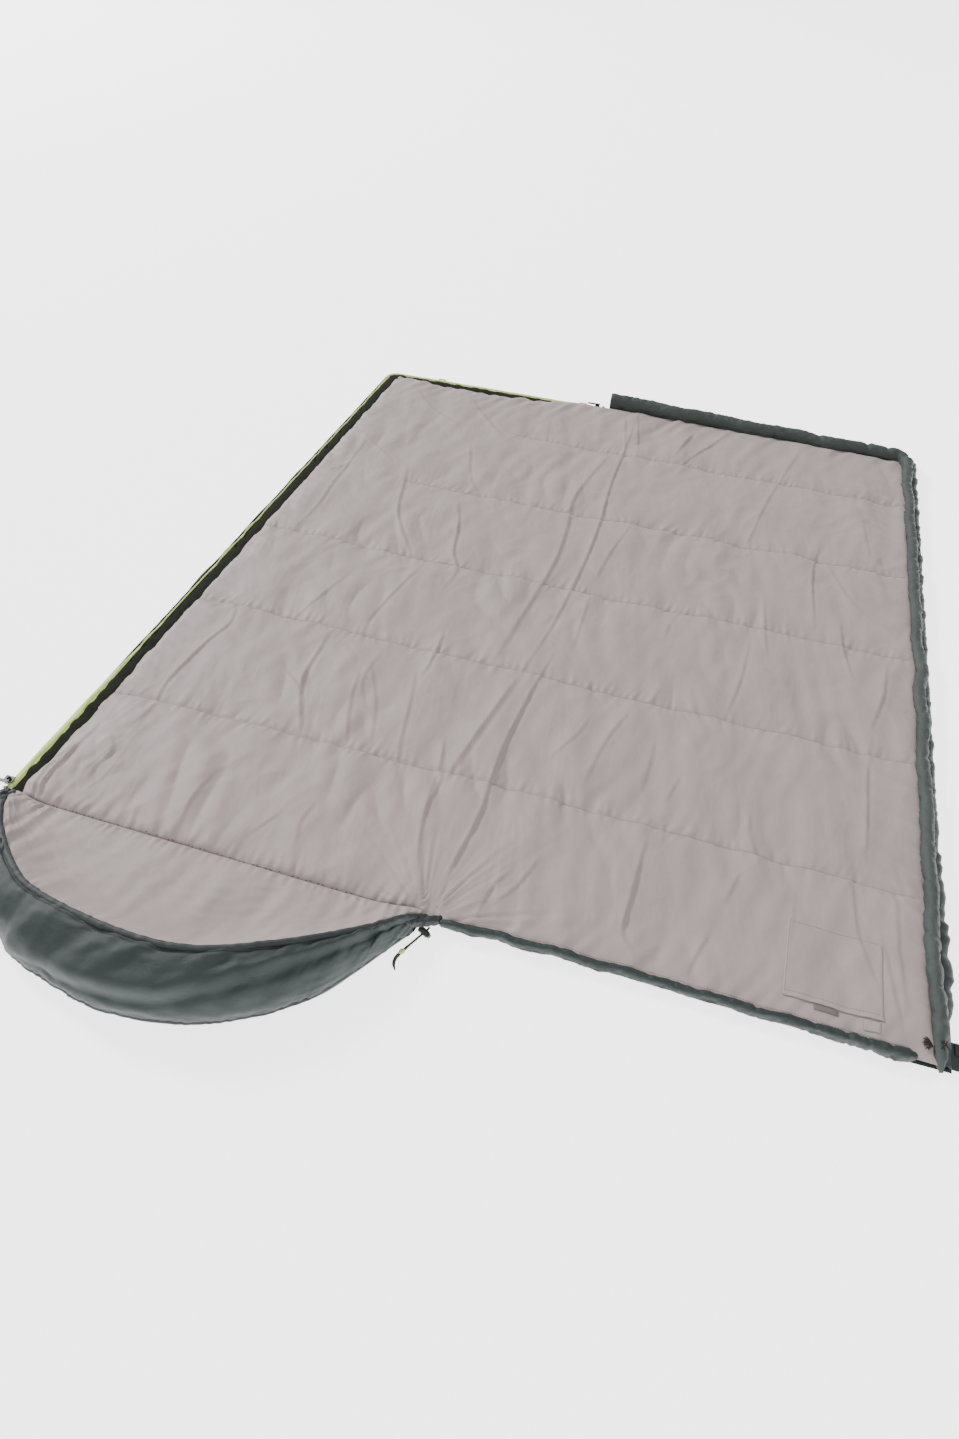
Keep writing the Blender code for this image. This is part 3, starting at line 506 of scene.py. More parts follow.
def lining_height(DX, YY):
    shape, st = DX.shape, (sy, sx)
    Z = np.full(shape, 0.0)
    # puffed channels: a quick rise away from every seam
    dist = np.full(shape, 9.0)
    near = np.full(shape, -1)
    for k, v in enumerate(SEAM_V[1:]):
        d = np.abs(YY - seam_y(v, DX, k + 1))
        if k >= 3:
            d = d + 0.050 * (1 - seam_seen(k + 1, DX))
        near = np.where(d < dist, k + 1, near)
        dist = np.minimum(dist, d)
    hood_side = np.where(DX < 0.02, np.abs(YY - 0.0), 9.0)
    dist_h = np.minimum(dist, hood_side)
    puff = 1 - np.exp(-dist_h / 0.026)
    body = 0.0170 + 0.0066 * puff + 0.0020 * sm(dist_h / 0.14)
    Z += body
    # seam groove
    Z -= 0.0017 * np.exp(-(dist_h / 0.0028) ** 2)
    # broad lie of the padding, then wrinkles that run from the hood to the foot
    Z += 0.0019 * field(shape, st, 0.16, 0.34, 11, 0.10)
    w1 = field(shape, st, 0.060, 0.26, 12, 0.16)
    w2 = field(shape, st, 0.060, 0.24, 13, -0.22)
    mixf = sm(0.5 + 0.5 * field(shape, st, 0.45, 0.45, 14))
    w = w1 * mixf + w2 * (1 - mixf)
    Z += 0.0008 * w
    r1 = field(shape, st, 0.036, 0.34, 15, 0.16)
    Z += 0.0007 * (np.exp(-np.abs(r1) * 2.6) - 0.28) * sm(0.10 + 0.7 * field(shape, st, 0.22, 0.30, 16))
    # crisp facets, as in a closely woven lining that has been packed
    f1 = field(shape, st, 0.125, 0.30, 25, 0.22, 0.6)
    f2 = field(shape, st, 0.085, 0.17, 26, -0.45, 0.6)
    f3 = field(shape, st, 0.050, 0.080, 27, 0.7, 0.6)
    on1 = sm(0.45 + 0.5 * field(shape, st, 0.30, 0.36, 28))
    on2 = sm(0.30 + 0.6 * field(shape, st, 0.24, 0.28, 29))
    Z += 0.0026 * (np.sqrt(f1 * f1 + 0.010) - 0.8) * on1
    Z += 0.0009 * (0.8 - np.sqrt(f2 * f2 + 0.010)) * on2
    Z += 0.0003 * (np.sqrt(f3 * f3 + 0.015) - 0.8) * (1 - 0.5 * on2)
    r2 = field(shape, st, 0.026, 0.20, 17, -0.30)
    Z += 0.0003 * (np.exp(-np.abs(r2) * 3.2) - 0.25) * sm(0.25 + 0.6 * field(shape, st, 0.20, 0.20, 18))
    # puckers either side of each seam
    for k, v in enumerate(SEAM_V):
        yc = seam_y(v, DX, k) if k else np.zeros(shape)
        dy = YY - yc
        on = (DX < 0.0) * 1.0 if k == 0 else seam_seen(k, DX)
        for side in (-1, 1):
            a = line_noise(nx * 4, sx / 4, 0.020, 40 + 7 * k + side)
            b = line_noise(nx * 4, sx / 4, 0.042, 60 + 7 * k + side)
            skew = 0.25 * np.interp(DX, np.linspace(LX0, LX1, 40), line_noise(40, 1.0, 8.0, 90 + k))
            pos = (DX + skew * dy - LX0) / (sx / 4)
            A = np.interp(pos, np.arange(nx * 4), a)
            B = np.interp(pos, np.arange(nx * 4), b)
            ad = np.abs(dy)
            mask = (dy * side > 0) * on
            Z += mask * (1.9 if k == 0 else 1.0) * (0.0012 * A * np.exp(-ad / 0.012) + 0.0008 * B * np.exp(-ad / 0.032)) * (1 - np.exp(-ad / 0.004))
    Z = add_creases(Z, DX, YY, CREASES, seen_at)
    # gathers that fan out from the drawcord's corner
    gxp, gyp = 0.000, -0.010
    rr = np.hypot(DX - gxp, YY - gyp)
    th = np.arctan2(YY - gyp, DX - gxp)
    n1 = np.interp((th + np.pi) / (2 * np.pi) * 720, np.arange(720), line_noise(720, 0.5, 7.0, 77))
    fan = np.exp(-rr / 0.085) * (1 - np.exp(-rr / 0.02))
    Z += 0.0022 * n1 * fan
    Z -= 0.006 * np.exp(-(rr / 0.030) ** 2)
    # rays from the left end of the hood seam and along the zip edge
    el = DX - LX0
    e1 = line_noise(ny * 2, sy / 2, 0.045, 101)
    e2 = line_noise(ny * 2, sy / 2, 0.017, 102)
    pos = (YY + 0.3 * el - LY0) / (sy / 2)
    crumple = np.exp(-(YY / 0.34) ** 2) * np.exp(-(el / 0.13) ** 2)
    c1 = field(shape, st, 0.045, 0.20, 131, -0.10)
    c2 = field(shape, st, 0.060, 0.090, 132, 0.5)
    Z += crumple * (0.0030 * (np.exp(-np.abs(c1) * 2.0) - 0.25) + 0.0030 * (np.abs(c2) - 0.6))
    Z += np.exp(-el / 0.045) * 0.0020 * np.interp(pos, np.arange(ny * 2), e1) + np.exp(-el / 0.018) * 0.0010 * np.interp(pos, np.arange(ny * 2), e2)
    er = LX1 - DX
    e3 = line_noise(ny * 2, sy / 2, 0.060, 103)
    e4 = line_noise(ny * 2, sy / 2, 0.020, 104)
    pos = (YY - 0.4 * er - LY0) / (sy / 2)
    Z += np.exp(-er / 0.055) * 0.0024 * np.interp(pos, np.arange(ny * 2), e3) + np.exp(-er / 0.020) * 0.0012 * np.interp(pos, np.arange(ny * 2), e4)
    ef = LY1 - YY
    f1 = line_noise(nx * 2, sx / 2, 0.055, 105)
    pos = (DX + 0.5 * ef - LX0) / (sx / 2)
    Z += np.exp(-ef / 0.060) * 0.0026 * np.interp(pos, np.arange(nx * 2), f1)
    en = YY - LY0
    g1 = line_noise(nx * 2, sx / 2, 0.040, 106)
    pos = (DX - 0.6 * en - LX0) / (sx / 2)
    Z += (DX > 0.03) * np.exp(-en / 0.030) * (1 - np.exp(-en / 0.008)) * 0.0018 * np.interp(pos, np.arange(nx * 2), g1)
    # rolled edges
    Z = 0.0088 + (Z - 0.0088) * (1 - np.exp(-el / 0.014)) ** 0.7
    Z = 0.0175 + (Z - 0.0175) * (1 - np.exp(-er / 0.014)) ** 0.8
    zf = np.where(DX < -0.28, 0.0075, 0.016)
    Z = zf + (Z - zf) * (1 - np.exp(-ef / 0.018)) ** 0.7
    zn = np.where(DX < 0, 0.0120, 0.0150)
    Z = np.where(DX < 0.0, 0.0105 + (Z - 0.0105) * (1 - np.exp(-en / 0.006)) ** 0.6, zn + (Z - zn) * (1 - np.exp(-en / 0.016)) ** 0.9)
    return np.clip(Z, 0.0050, 0.048)


LZ = lining_height(DX, YY)


def edge_wave(s, seed, amp, wl):
    n = 1200
    return amp * np.interp(s, np.linspace(-1.2, 2.4, n), line_noise(n, 3.6 / n, wl, seed))


PX, PY = DX.copy(), YY.copy()
# the sewn edges wander a little
wl = np.exp(-(PX - LX0) / 0.03)
PX += wl * (edge_wave(PY, 201, 0.0012, 0.11) * (1 + 2.2 * np.exp(-PY / 0.35)) - 0.0075 * np.exp(-PY / 0.22))
wr = np.exp(-(LX1 - PX) / 0.05)
PX += wr * (edge_wave(PY, 202, 0.0012, 0.16) + 0.006 * sm((1.5 - PY) / 0.6) + 0.002 * sm((0.5 - PY) / 0.4) + 0.006 * np.exp(-PY / 0.030))
wf = np.exp(-(LY1 - PY) / 0.04)
foot_reach = np.interp(PX, [-0.83, -0.79, -0.70, -0.60, -0.45, -0.37, -0.28, -0.18, -0.08, 0.0, 0.15, 0.50, 0.82], [0.030, 0.014, -0.003, -0.012, -0.010, 0.003, 0.018, 0.030, 0.034, 0.031, 0.024, 0.012, 0.0])
near_reach = np.interp(PX, [-0.83, -0.03, 0.0, 0.03, 0.10, 0.25, 0.8], [0.0, 0.0, -0.006, -0.010, -0.006, -0.002, 0.0])
PY += near_reach * np.exp(-PY / 0.035)
PY += wf * (edge_wave(PX, 203, 0.0022, 0.13) + foot_reach)
# rounded foot corners
for side in (-1, 1):
    r = 0.020
    ex = (LX0 if side < 0 else LX1)
    cx = ex - side * r
    cy = LY1 - r
    ax, ay = side * (PX - cx), PY - cy
    inside = (ax > 0) & (ay > 0)
    m_ = np.maximum(ax, ay)
    h = np.hypot(ax, ay) + 1e-9
    k = np.where(inside, m_ / h, 1.0)
    PX = np.where(inside, cx + side * ax * k, PX)
    PY = np.where(inside, cy + ay * k, PY)
L_PTS = np.stack([XF + PX, Y0 + PY, LZ], -1)
lining = grid("lining", L_PTS, M_LIN, uv=np.stack([DX, YY], -1))


def z_at(dx, y):
    """Height of the lining at a point."""
    i = np.clip((np.asarray(y) - LY0) / sy, 0, ny - 1.001)
    j = np.clip((np.asarray(dx) - LX0) / sx, 0, nx - 1.001)
    i0, j0 = i.astype(int), j.astype(int)
    a, b = i - i0, j - j0
    return (LZ[i0, j0] * (1 - a) * (1 - b) + LZ[i0 + 1, j0] * a * (1 - b) + LZ[i0, j0 + 1] * (1 - a) * b + LZ[i0 + 1, j0 + 1] * a * b)


def laid(dx, y, lift=0.0006):
    dx, y = np.asarray(dx, float), np.asarray(y, float)
    return np.stack([XF + dx, Y0 + y, z_at(dx, y) + lift], -1)


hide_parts("lower_lining", "upper_lining")
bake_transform(lining)

for k, v in enumerate(SEAM_V[1:]):
    dx = np.linspace({3: -0.55, 4: -0.34}.get(k, LX0 + 0.006), LX1 - 0.006, 500)
    y = seam_y(v, dx, k + 1)
    st_ = stitches(f"quilting_stitches_{k + 1}", laid(dx, y, 0.0004), M_THREAD)
    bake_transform(st_)

# ------------------------------------------------------------------ outer shell, underneath
def shell_sheet():
    n = 150
    xs = np.concatenate([[-0.866], np.linspace(-0.860, -0.066, n), np.linspace(-0.060, 0.060, 41), np.linspace(0.066, 0.860, n), [0.866]])
    ys = np.linspace(0.0, BODY_L + 0.0, 2 * n)
    A, B = np.meshgrid(xs, ys)
    d = np.minimum(np.minimum(A + 0.866, 0.866 - A), np.minimum(B, BODY_L - B))
    ux = np.linspace(-0.87, 0.87, 320)
    base = field((2 * n, 320), (ys[1] - ys[0], ux[1] - ux[0]), 0.07, 0.20, 301)
    fine = field((2 * n, 320), (ys[1] - ys[0], ux[1] - ux[0]), 0.035, 0.09, 302, 0.3)
    wr_ = np.stack([np.interp(xs, ux, base[i]) for i in range(len(ys))])
    wf_ = np.stack([np.interp(xs, ux, fine[i]) for i in range(len(ys))])
    ds = np.full(A.shape, 9.0)
    for k, v in enumerate(SEAM_V[1:]):
        ds = np.minimum(ds, np.abs(B - seam_y(v, A, k + 1)))
    Z = 0.0008 + 0.0040 * np.exp(-ds / 0.018) + 0.0004 * np.maximum(wr_, 0) + 0.0003 * np.maximum(wf_, 0) + 0.0008 * np.exp(-ds / 0.03) * np.maximum(wf_, -0.5)
    Z = 0.0008 + (Z - 0.0008) * sm((d - 0.020) / 0.060)
    Z = np.maximum(Z, 0.0006)
    Z += np.exp(-d / 0.02) * (0.0028 + 0.0012 * wr_) * (d < 0.06)
    PXs = A + 0.0015 * np.sin(B * 23) * (np.abs(A) > 0.82)
    PYs = B
    for side in (-1, 1):
        r = 0.034
        cx, cy = side * (0.866 - r), BODY_L - r
        ax, ay = side * (PXs - cx), PYs - cy
        inside = (ax > 0) & (ay > 0)
        k = np.where(inside, np.maximum(ax, ay) / (np.hypot(ax, ay) + 1e-9), 1.0)
        PXs = np.where(inside, cx + side * ax * k, PXs)
        PYs = np.where(inside, cy + ay * k, PYs)
    pts = np.stack([XF + PXs, Y0 + PYs, Z], -1)
    ob = grid("outer_shell", pts, M_SHELL, uv=np.stack([A, B], -1))
    so = ob.modifiers.new("cloth", "SOLIDIFY")
    so.thickness = 0.0009
    so.offset = 1.0
    return ob


shell = shell_sheet()
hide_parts("lower_shell", "upper_shell")
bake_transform(shell)


# ------------------------------------------------------------------ edge runs
def ell_path(d, y_start, d_end, side, n=500, y_end=None, r_out=0.034, out=0.865):
    """Path at distance d from the fold, up the side, round the foot corner and in along the foot."""
    cx, cy = out - r_out, BODY_L - r_out
    r = d - cx
    pts = [(d, y_start)]
    pts += [(cx + r * math.cos(a), cy + r * math.sin(a)) for a in np.linspace(0, math.pi / 2, 24)]
    pts.append((d_end, cy + r))
    p, L = even(np.array(pts), n)
    return np.stack([XF + side * p[:, 0], Y0 + p[:, 1]], -1), L


def ribbon(name, d_in, d_out, z_in, z_out, y_start, d_end, side, material, body, node=None, n=520, m=7, wave=0.0006, thick=0.0007, seed=1, crown=0.0):
    """A band of tape lying round the edge, slightly wavy, with real thickness."""
    rows = []
    for t in np.linspace(0, 1, m):
        p, L = ell_path(d_in + (d_out - d_in) * t, y_start, d_end, side, n)
        z = z_in + (z_out - z_in) * t + crown * math.sin(math.pi * t)
        w = wave * np.interp(np.linspace(0, L, n), np.linspace(0, L, 700), line_noise(700, L / 700, 0.05, seed)) * (0.4 + t)
        off = 0.5 * wave * np.interp(np.linspace(0, L, n), np.linspace(0, L, 700), line_noise(700, L / 700, 0.09, seed + 5))
        rows.append(np.concatenate([p + off[:, None] * np.array([1.0, 0.4]), (z + w)[:, None]], 1))
    pts = np.stack(rows, 1)
    ob = grid(name, pts, material, flip=(side > 0))
    so = ob.modifiers.new("cloth", "SOLIDIFY")
    so.thickness = thick
    so.offset = 0.0
    if node:
        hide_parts(node)
    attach(ob, body)
    return ob


strip = ribbon("anti_snag_strip", 0.8120, 0.8490, 0.0078, 0.0084, 0.004, 0.10, -1, M_STRIP, "lower_half", "lower_anti_snag_strip", wave=0.0009, thick=0.0010, seed=21, crown=0.0020)
edgeL = ribbon("zip_edge_left", 0.8470, 0.8638, 0.0070, 0.0064, 0.006, 0.105, -1, M_STRIP, "lower_half", wave=0.0002, seed=35)
tapeL = ribbon("zip_tape_left", 0.8440, 0.8640, 0.0052, 0.0050, 0.006, 0.105, -1, M_TAPE, "lower_half", "lower_zip_tape", wave=0.0005, seed=31)
tapeR = ribbon("zip_tape_right", 0.8380, 0.8640, 0.0052, 0.0050, 0.012, 0.11, 1, M_TAPE, "upper_half", "upper_zip_tape", wave=0.0005, seed=41)


def coil(name, d, y_start, d_end, side, z, material, body, node, r=0.0022, wire=0.00055, pitch=0.0021, seed=5, wander=0.0012, thin=((0, 9), (1, 1))):
    n = 900
    p, L = ell_path(d, y_start, d_end, side, n)
    off = wander * np.interp(np.linspace(0, L, n), np.linspace(0, L, 700), line_noise(700, L / 700, 0.10, seed))
    t = np.gradient(p, axis=0)
    t /= np.linalg.norm(t, axis=1)[:, None]
    nrm = np.stack([t[:, 1], -t[:, 0]], 1)
    p = p + nrm * off[:, None]
    c = np.concatenate([p, np.full((n, 1), z)], 1)
    turns = L / pitch
    per = 8
    k = int(turns * per)
    s = np.linspace(0, L, k)
    base = np.stack([np.interp(s, np.linspace(0, L, n), c[:, i]) for i in range(3)], 1)
    nn = np.stack([np.interp(s, np.linspace(0, L, n), nrm[:, i]) for i in range(2)] + [np.zeros(k)], 1)
    a = 2 * np.pi * np.arange(k) / per
    rs = r * np.interp(s, thin[0], thin[1])
    pts = base + nn * (rs * 1.25 * np.cos(a))[:, None] + np.array([0, 0, 1.0]) * (rs * np.sin(a))[:, None]
    m = 5
    ob = sweep(name, pts, lambda s_: np.tile(round_ring(m, wire), (len(s_), 1, 1)), material)
    # the woven cord that the coil is sewn over
    core = sweep(name + "_core", np.stack([np.interp(np.linspace(0, L, 500), np.linspace(0, L, n), c[:, i]) for i in range(3)], 1),
                 lambda s_: round_ring(8, r * 0.95, r * 0.7)[None] * np.interp(s_, thin[0], thin[1])[:, None, None], material)
    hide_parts(node)
    for o in (ob, core):
        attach(o, body)
    return ob


coil("zip_coil_left", 0.8550, 0.017, 0.121, -1, 0.0086, M_LIME, "lower_half", "lower_zip_coil", seed=7, wander=0.0014, thin=((0, 0.32, 0.46, 1.85, 2.05, 9), (1, 1, 0.5, 0.5, 1, 1)))
coil("zip_coil_right", 0.8600, 0.023, 0.121, 1, 0.0084, M_DARKCOIL, "upper_half", "upper_zip_coil", seed=8, wander=0.0006)
# lime edge tape beside the coil, wide near the hood and narrow further on
def lime_tape():
    n, m = 520, 5
    rows = []
    p0, L = ell_path(0.8530, 0.004, 0.100, -1, n)
    s = np.linspace(0, L, n)
    w0 = np.interp(s, [0, 0.24, 0.36, 0.46, 1.0, 1.85, 2.05, 2.2, L], [0.8642, 0.8642, 0.8620, 0.8565, 0.8560, 0.8560, 0.8620, 0.8640, 0.8640])
    w0 = w0 + 0.0003 * np.interp(s, np.linspace(0, L, 700), line_noise(700, L / 700, 0.07, 33))
    for t in np.linspace(0, 1, m):
        q = []
        for k in range(n):
            q.append(None)
        a, _ = ell_path(0.8480, 0.004, 0.100, -1, n)
        b, _ = ell_path(0.8640, 0.004, 0.100, -1, n)
        wi = np.interp(s, [0, 0.30, 0.46, 1.85, 2.05, L], [0.8480, 0.8480, 0.8535, 0.8535, 0.8480, 0.8480])
        f = ((wi + (w0 - wi) * t - 0.8480) / (0.8640 - 0.8480))[:, None]
        xy = a + (b - a) * f
        z = 0.0084 + 0.0003 * np.sin(s * 40 + 3 * t)
        rows.append(np.concatenate([xy, z[:, None]], 1))
    ob = grid("zip_edge_lime", np.stack(rows, 1), M_LIMETAPE)
    so = ob.modifiers.new("cloth", "SOLIDIFY")
    so.thickness = 0.0006
    so.offset = 1.0
    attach(ob, "lower_half")


lime_tape()


# ------------------------------------------------------------------ draft tube
def tube_path(n):
    r = 0.046
    D, F = 0.832, BODY_L - 0.026
    cx, cy = D - r, F - r
    pts = [(-0.092, F + 0.031), (0.0, F + 0.027), (0.2, F + 0.018), (0.45, F + 0.008), (0.65, F + 0.002)]
    pts += [(cx + r * math.cos(a), cy + r * math.sin(a)) for a in np.linspace(math.pi / 2, 0, 16)]
    pts += [(D + 0.005, 1.5), (D + 0.009, 0.9), (D + 0.0078, 0.45), (D + 0.0095, 0.10), (D + 0.012, 0.030), (D + 0.021, -0.006)]
    p, L = even(np.array(pts), n)
    return p, L


def draft_tube():
    n, m = (620), 36
    p, L = tube_path(n)
    s = np.linspace(0, L, n)
    wob = 0.0022 * np.interp(s, np.linspace(0, L, 500), line_noise(500, L / 500, 0.22, 401))
    t = np.gradient(p, axis=0)
    t /= np.linalg.norm(t, axis=1)[:, None]
    nr = np.stack([-t[:, 1], t[:, 0]], 1)
    p = p + nr * wob[:, None]
    rad = np.interp(s, [0, 0.03, 0.4, 0.85, 0.95, 1.1, 1.9, 2.6, L - 0.06, L - 0.02, L], [0.0190, 0.0192, 0.0190, 0.0180, 0.0165, 0.0138, 0.0135, 0.0128, 0.0128, 0.0098, 0.0020])
    high = np.interp(s, [0, 0.02, 0.25, 0.9, 1.1, L - 0.08, L - 0.02, L], [0.0260, 0.0262, 0.0245, 0.0205, 0.0140, 0.0145, 0.0100, 0.0030])
    path = np.concatenate([XF + p[:, 0:1], Y0 + p[:, 1:2], (0.0065 + high * 0.98)[:, None]], 1)
    a = np.linspace(0, 2 * np.pi, m, endpoint=False)
    S, A = np.meshgrid(s, a, indexing="ij")
    st = (s[1] - s[0], 2 * np.pi * 0.018 / m)
    shape = S.shape
    ring = field(shape, st, 0.10, 0.030, 402) * 0.0004 + field(shape, st, 0.05, 0.075, 403) * 0.0005 + field(shape, st, 0.026, 0.014, 404) * 0.0002
    fc = field(shape, st, 0.045, 0.030, 405, 0.5)
    ring += 0.0014 * (np.exp(-np.abs(fc) * 3.0) - 0.30)
    # cross creases where the tube is pulled in
    for s0, dep in ((0.03, .0008), (0.30, .0016), (0.52, .0018), (0.66, .0016), (0.80, .0026), (0.87, .0032), (0.925, .0036), (0.985, .0030), (1.07, .0016), (1.22, .0014), (1.37, .0018), (1.48, .0012), (1.62, .0016),
                    (1.79, .0012), (1.93, .0014), (2.08, .0012), (2.22, .0016), (2.36, .0018), (2.45, .0016), (2.53, .0024), (2.60, .0020), (2.655, .0026), (2.71, .0022), (2.76, .0026), (2.81, .0022), (2.855, .0016)):
        sk = 0.006 * np.sin(A * 1.0 + s0 * 40)
        ring -= (2.3 if s0 < 2.3 else 1.3) * dep * np.exp(-np.abs(S - s0 - sk) / 0.0055) * (0.60 + 0.40 * np.cos(A - 1.3 - s0 * 9))
        ring += dep * 0.8 * np.exp(-((S - s0 - 0.016 - sk) / 0.010) ** 2)
    # flatter underside, sewn edge on the outer side
    rx = rad[:, None] + ring
    rz = high[:, None] + ring
    flat = np.clip(np.sin(A), -0.80, 1.0)
    R = np.stack([rx * np.cos(A), rz * np.where(np.sin(A) < -0.80, -0.80, flat)], -1)
    # its lighter slate is partly painted light
    ob = sweep("draft_tube", path, lambda s_: R, M_TUBE_LIT)
    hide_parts("draft_tube_cover")
    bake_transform(ob)
    return path, rad, high, s


T_PATH, T_RAD, T_HIGH, T_S = draft_tube()


def outer_ruffle():
    """The shell edge outside the draft tube, drawn up by its stitching."""
    n, m = 700, 7
    p, L = ell_path(0.844, 0.003, 0.02, 1, n)
    q, _ = ell_path(0.8650, 0.003, 0.02, 1, n)
    q[:, 0] += 0.0085 * sm((Y0 + 0.55 - q[:, 1]) / 0.45) * sm((q[:, 1] - Y0 - 0.085) / 0.045)
    s = np.linspace(0, L, n)
    w1 = np.interp(s, np.linspace(0, L, 1200), line_noise(1200, L / 1200, 0.085, 451))
    w2 = np.interp(s, np.linspace(0, L, 1200), line_noise(1200, L / 1200, 0.030, 452))
    rows = []
    for t in np.linspace(0, 1, m):
        xy = p + (q - p) * (t + 0.05 * t * w1 + 0.015 * t * w2)[:, None]
        z = 0.0150 + 0.0040 * math.sin(math.pi * min(1, t * 0.9)) - 0.0065 * t ** 1.5 + (0.0009 * w1 + 0.0006 * w2) * (0.3 + t)
        z = z * (1 - 0.5 * np.exp(-s / 0.02) * 0) 
        rows.append(np.concatenate([xy, np.maximum(z, 0.0030)[:, None]], 1))
    ob = grid("shell_edge_ruffle", np.stack(rows, 1), M_SHELL)
    so = ob.modifiers.new("cloth", "SOLIDIFY")
    so.thickness = 0.0011
    so.offset = 0.0
    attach(ob, "upper_half")
    st_ = stitches("edge_stitches_right", np.concatenate([p + (q - p) * 0.30, (0.0186 + 0 * s)[:, None]], 1), M_THREADD)
    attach(st_, "upper_half")


outer_ruffle()


def loose_ends():
    """The bar tack that holds the tube's end, and the frayed end of the tape beside it."""
    def strand(name, pts, r, material):
        p, L = even(catmull(pts, 8), 26)
        ob = sweep(name, p, lambda s_: round_ring(8, 1.0)[None] * (r * np.interp(s_, [0, 0.15 * s_[-1], 0.85 * s_[-1], s_[-1]], [0.6, 1, 1, 0.35]))[:, None, None], material)
        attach(ob, "upper_half")
    top = 0.0330
    cx, cy = 0.8480, 0.030
    for k, (a, b) in enumerate((((-0.006, -0.008), (0.006, 0.009)), ((0.007, -0.006), (-0.006, 0.007)), ((-0.001, -0.010), (0.000, 0.010)))):
        strand(f"bar_tack_{k}", [(XF + cx + a[0], Y0 + cy + a[1], top - 0.0060), (XF + cx + (a[0] + b[0]) / 2, Y0 + cy + (a[1] + b[1]) / 2, top - 0.0022), (XF + cx + b[0], Y0 + cy + b[1], top - 0.0060)], 0.0011, M_SEAMD)
    rng = np.random.default_rng(9)
    bx, by = 0.8290, 0.026
    for k in range(14):
        a = rng.uniform(-1.2, 1.2)
        l = rng.uniform(0.006, 0.014)
        dx, dy = -math.cos(a) * l, math.sin(a) * l + 0.002
        strand(f"tape_fray_{k}", [(XF + bx + 0.004, Y0 + by, 0.0215), (XF + bx + dx * 0.5, Y0 + by + dy * 0.6, 0.0265 + 0.001 * rng.uniform(-1, 1)), (XF + bx + dx, Y0 + by + dy, 0.0235 + 0.001 * rng.uniform(-1, 1))], 0.0010, M_SEAMD)


loose_ends()


# ------------------------------------------------------------------ binding on the right half's top edge
def binding():
    n, m = (420), 32
    ctrl = [(0.0300, -0.0065), (0.06, -0.0055), (0.12, -0.0010), (0.25, 0.0020), (0.45, 0.0030), (0.60, 0.0018), (0.72, 0.0018), (0.79, 0.0025), (0.812, 0.0070)]
    p, L = even(catmull(ctrl, 12), n)
    s = np.linspace(0, L, n)
    p[:, 1] += 0.0009 * np.interp(s, np.linspace(0, L, 400), line_noise(400, L / 400, 0.10, 471))
    zc = 0.0148 + 0.0005 * np.interp(s, np.linspace(0, L, 400), line_noise(400, L / 400, 0.15, 472))
    path = np.concatenate([XF + p[:, 0:1], Y0 + p[:, 1:2], zc[:, None]], 1)
    a = np.linspace(0, 2 * np.pi, m, endpoint=False)
    S, A = np.meshgrid(s, a, indexing="ij")
    st = (s[1] - s[0], 2 * np.pi * 0.013 / m)
    taper = np.interp(s, [0, 0.003, 0.02, 0.60, 0.68, 0.75, L - 0.014, L - 0.004, L], [0.55, 0.80, 0.95, 0.95, 1.15, 1.25, 1.15, 0.8, 0.30])
    ring = field(S.shape, st, 0.06, 0.026, 473) * 0.0004 + field(S.shape, st, 0.03, 0.055, 474) * 0.0005 + field(S.shape, st, 0.02, 0.012, 475) * 0.0002
    for s0, dep in ((0.10, .0012), (0.24, .0014), (0.36, .0010), (0.47, .0014), (0.535, .0016), (0.62, .0014), (0.675, .0020), (0.71, .0026), (0.745, .0022), (0.775, .0018)):
        ring -= 0.8 * dep * np.exp(-((S - s0 - 0.004 * np.sin(A + s0 * 30)) / 0.004) ** 2)
    rx = (0.0081 + ring) * taper[:, None]
    rz = (0.0106 + ring) * taper[:, None]
    R = np.stack([rx * np.sign(np.cos(A)) * np.abs(np.cos(A)) ** 0.85, rz * np.sign(np.sin(A)) * np.abs(np.sin(A)) ** 0.85], -1)
    ob = sweep("top_edge_roll", path, lambda s_: R, M_SHELL)
    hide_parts("top_edge_binding")
    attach(ob, "upper_half")
    # its top stitching, along the lining
    q = path.copy()
    q[:, 1] += 0.0072
    q[:, 2] += 0.0098
    st_ = stitches("binding_stitches", q[6:-6], M_THREADD)
    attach(st_, "upper_half")


binding()


def corner_gather():
    """The drawn-up end of the hood, between its rim and the roll on the top edge."""
    n, m = 90, 28
    px = [(388, 920, 0.040), (402, 919.5, 0.037), (418, 921, 0.031), (432, 920, 0.024), (444, 918.5, 0.018)]
    pts = []
    for u, v, z in px:
        a, b = seen_at(u, v, z - 0.004)
        pts.append((XF + a, Y0 + b, z - 0.006))
    path, L = even(catmull(pts, 12), n)
    s = np.linspace(0, L, n)
    a = np.linspace(0, 2 * np.pi, m, endpoint=False)
    S, A = np.meshgrid(s, a, indexing="ij")
    st = (s[1] - s[0], 2 * np.pi * 0.009 / m)
    ring = field(S.shape, st, 0.014, 0.010, 481) * 0.0007 + field(S.shape, st, 0.008, 0.03, 482) * 0.0004
    taper = np.interp(s, [0, 0.012, 0.03, L - 0.02, L - 0.004, L], [0.25, 0.70, 1.0, 1.0, 0.85, 0.45])[:, None]
    R = np.stack([(0.0088 + ring) * taper * np.cos(A), (0.0088 + ring) * taper * np.sin(A)], -1)
    # its darker slate is painted shade
    ob = sweep("hood_corner_gather", path, lambda s_: R, M_RIM_SHADED)
    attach(ob, "hood")


corner_gather()


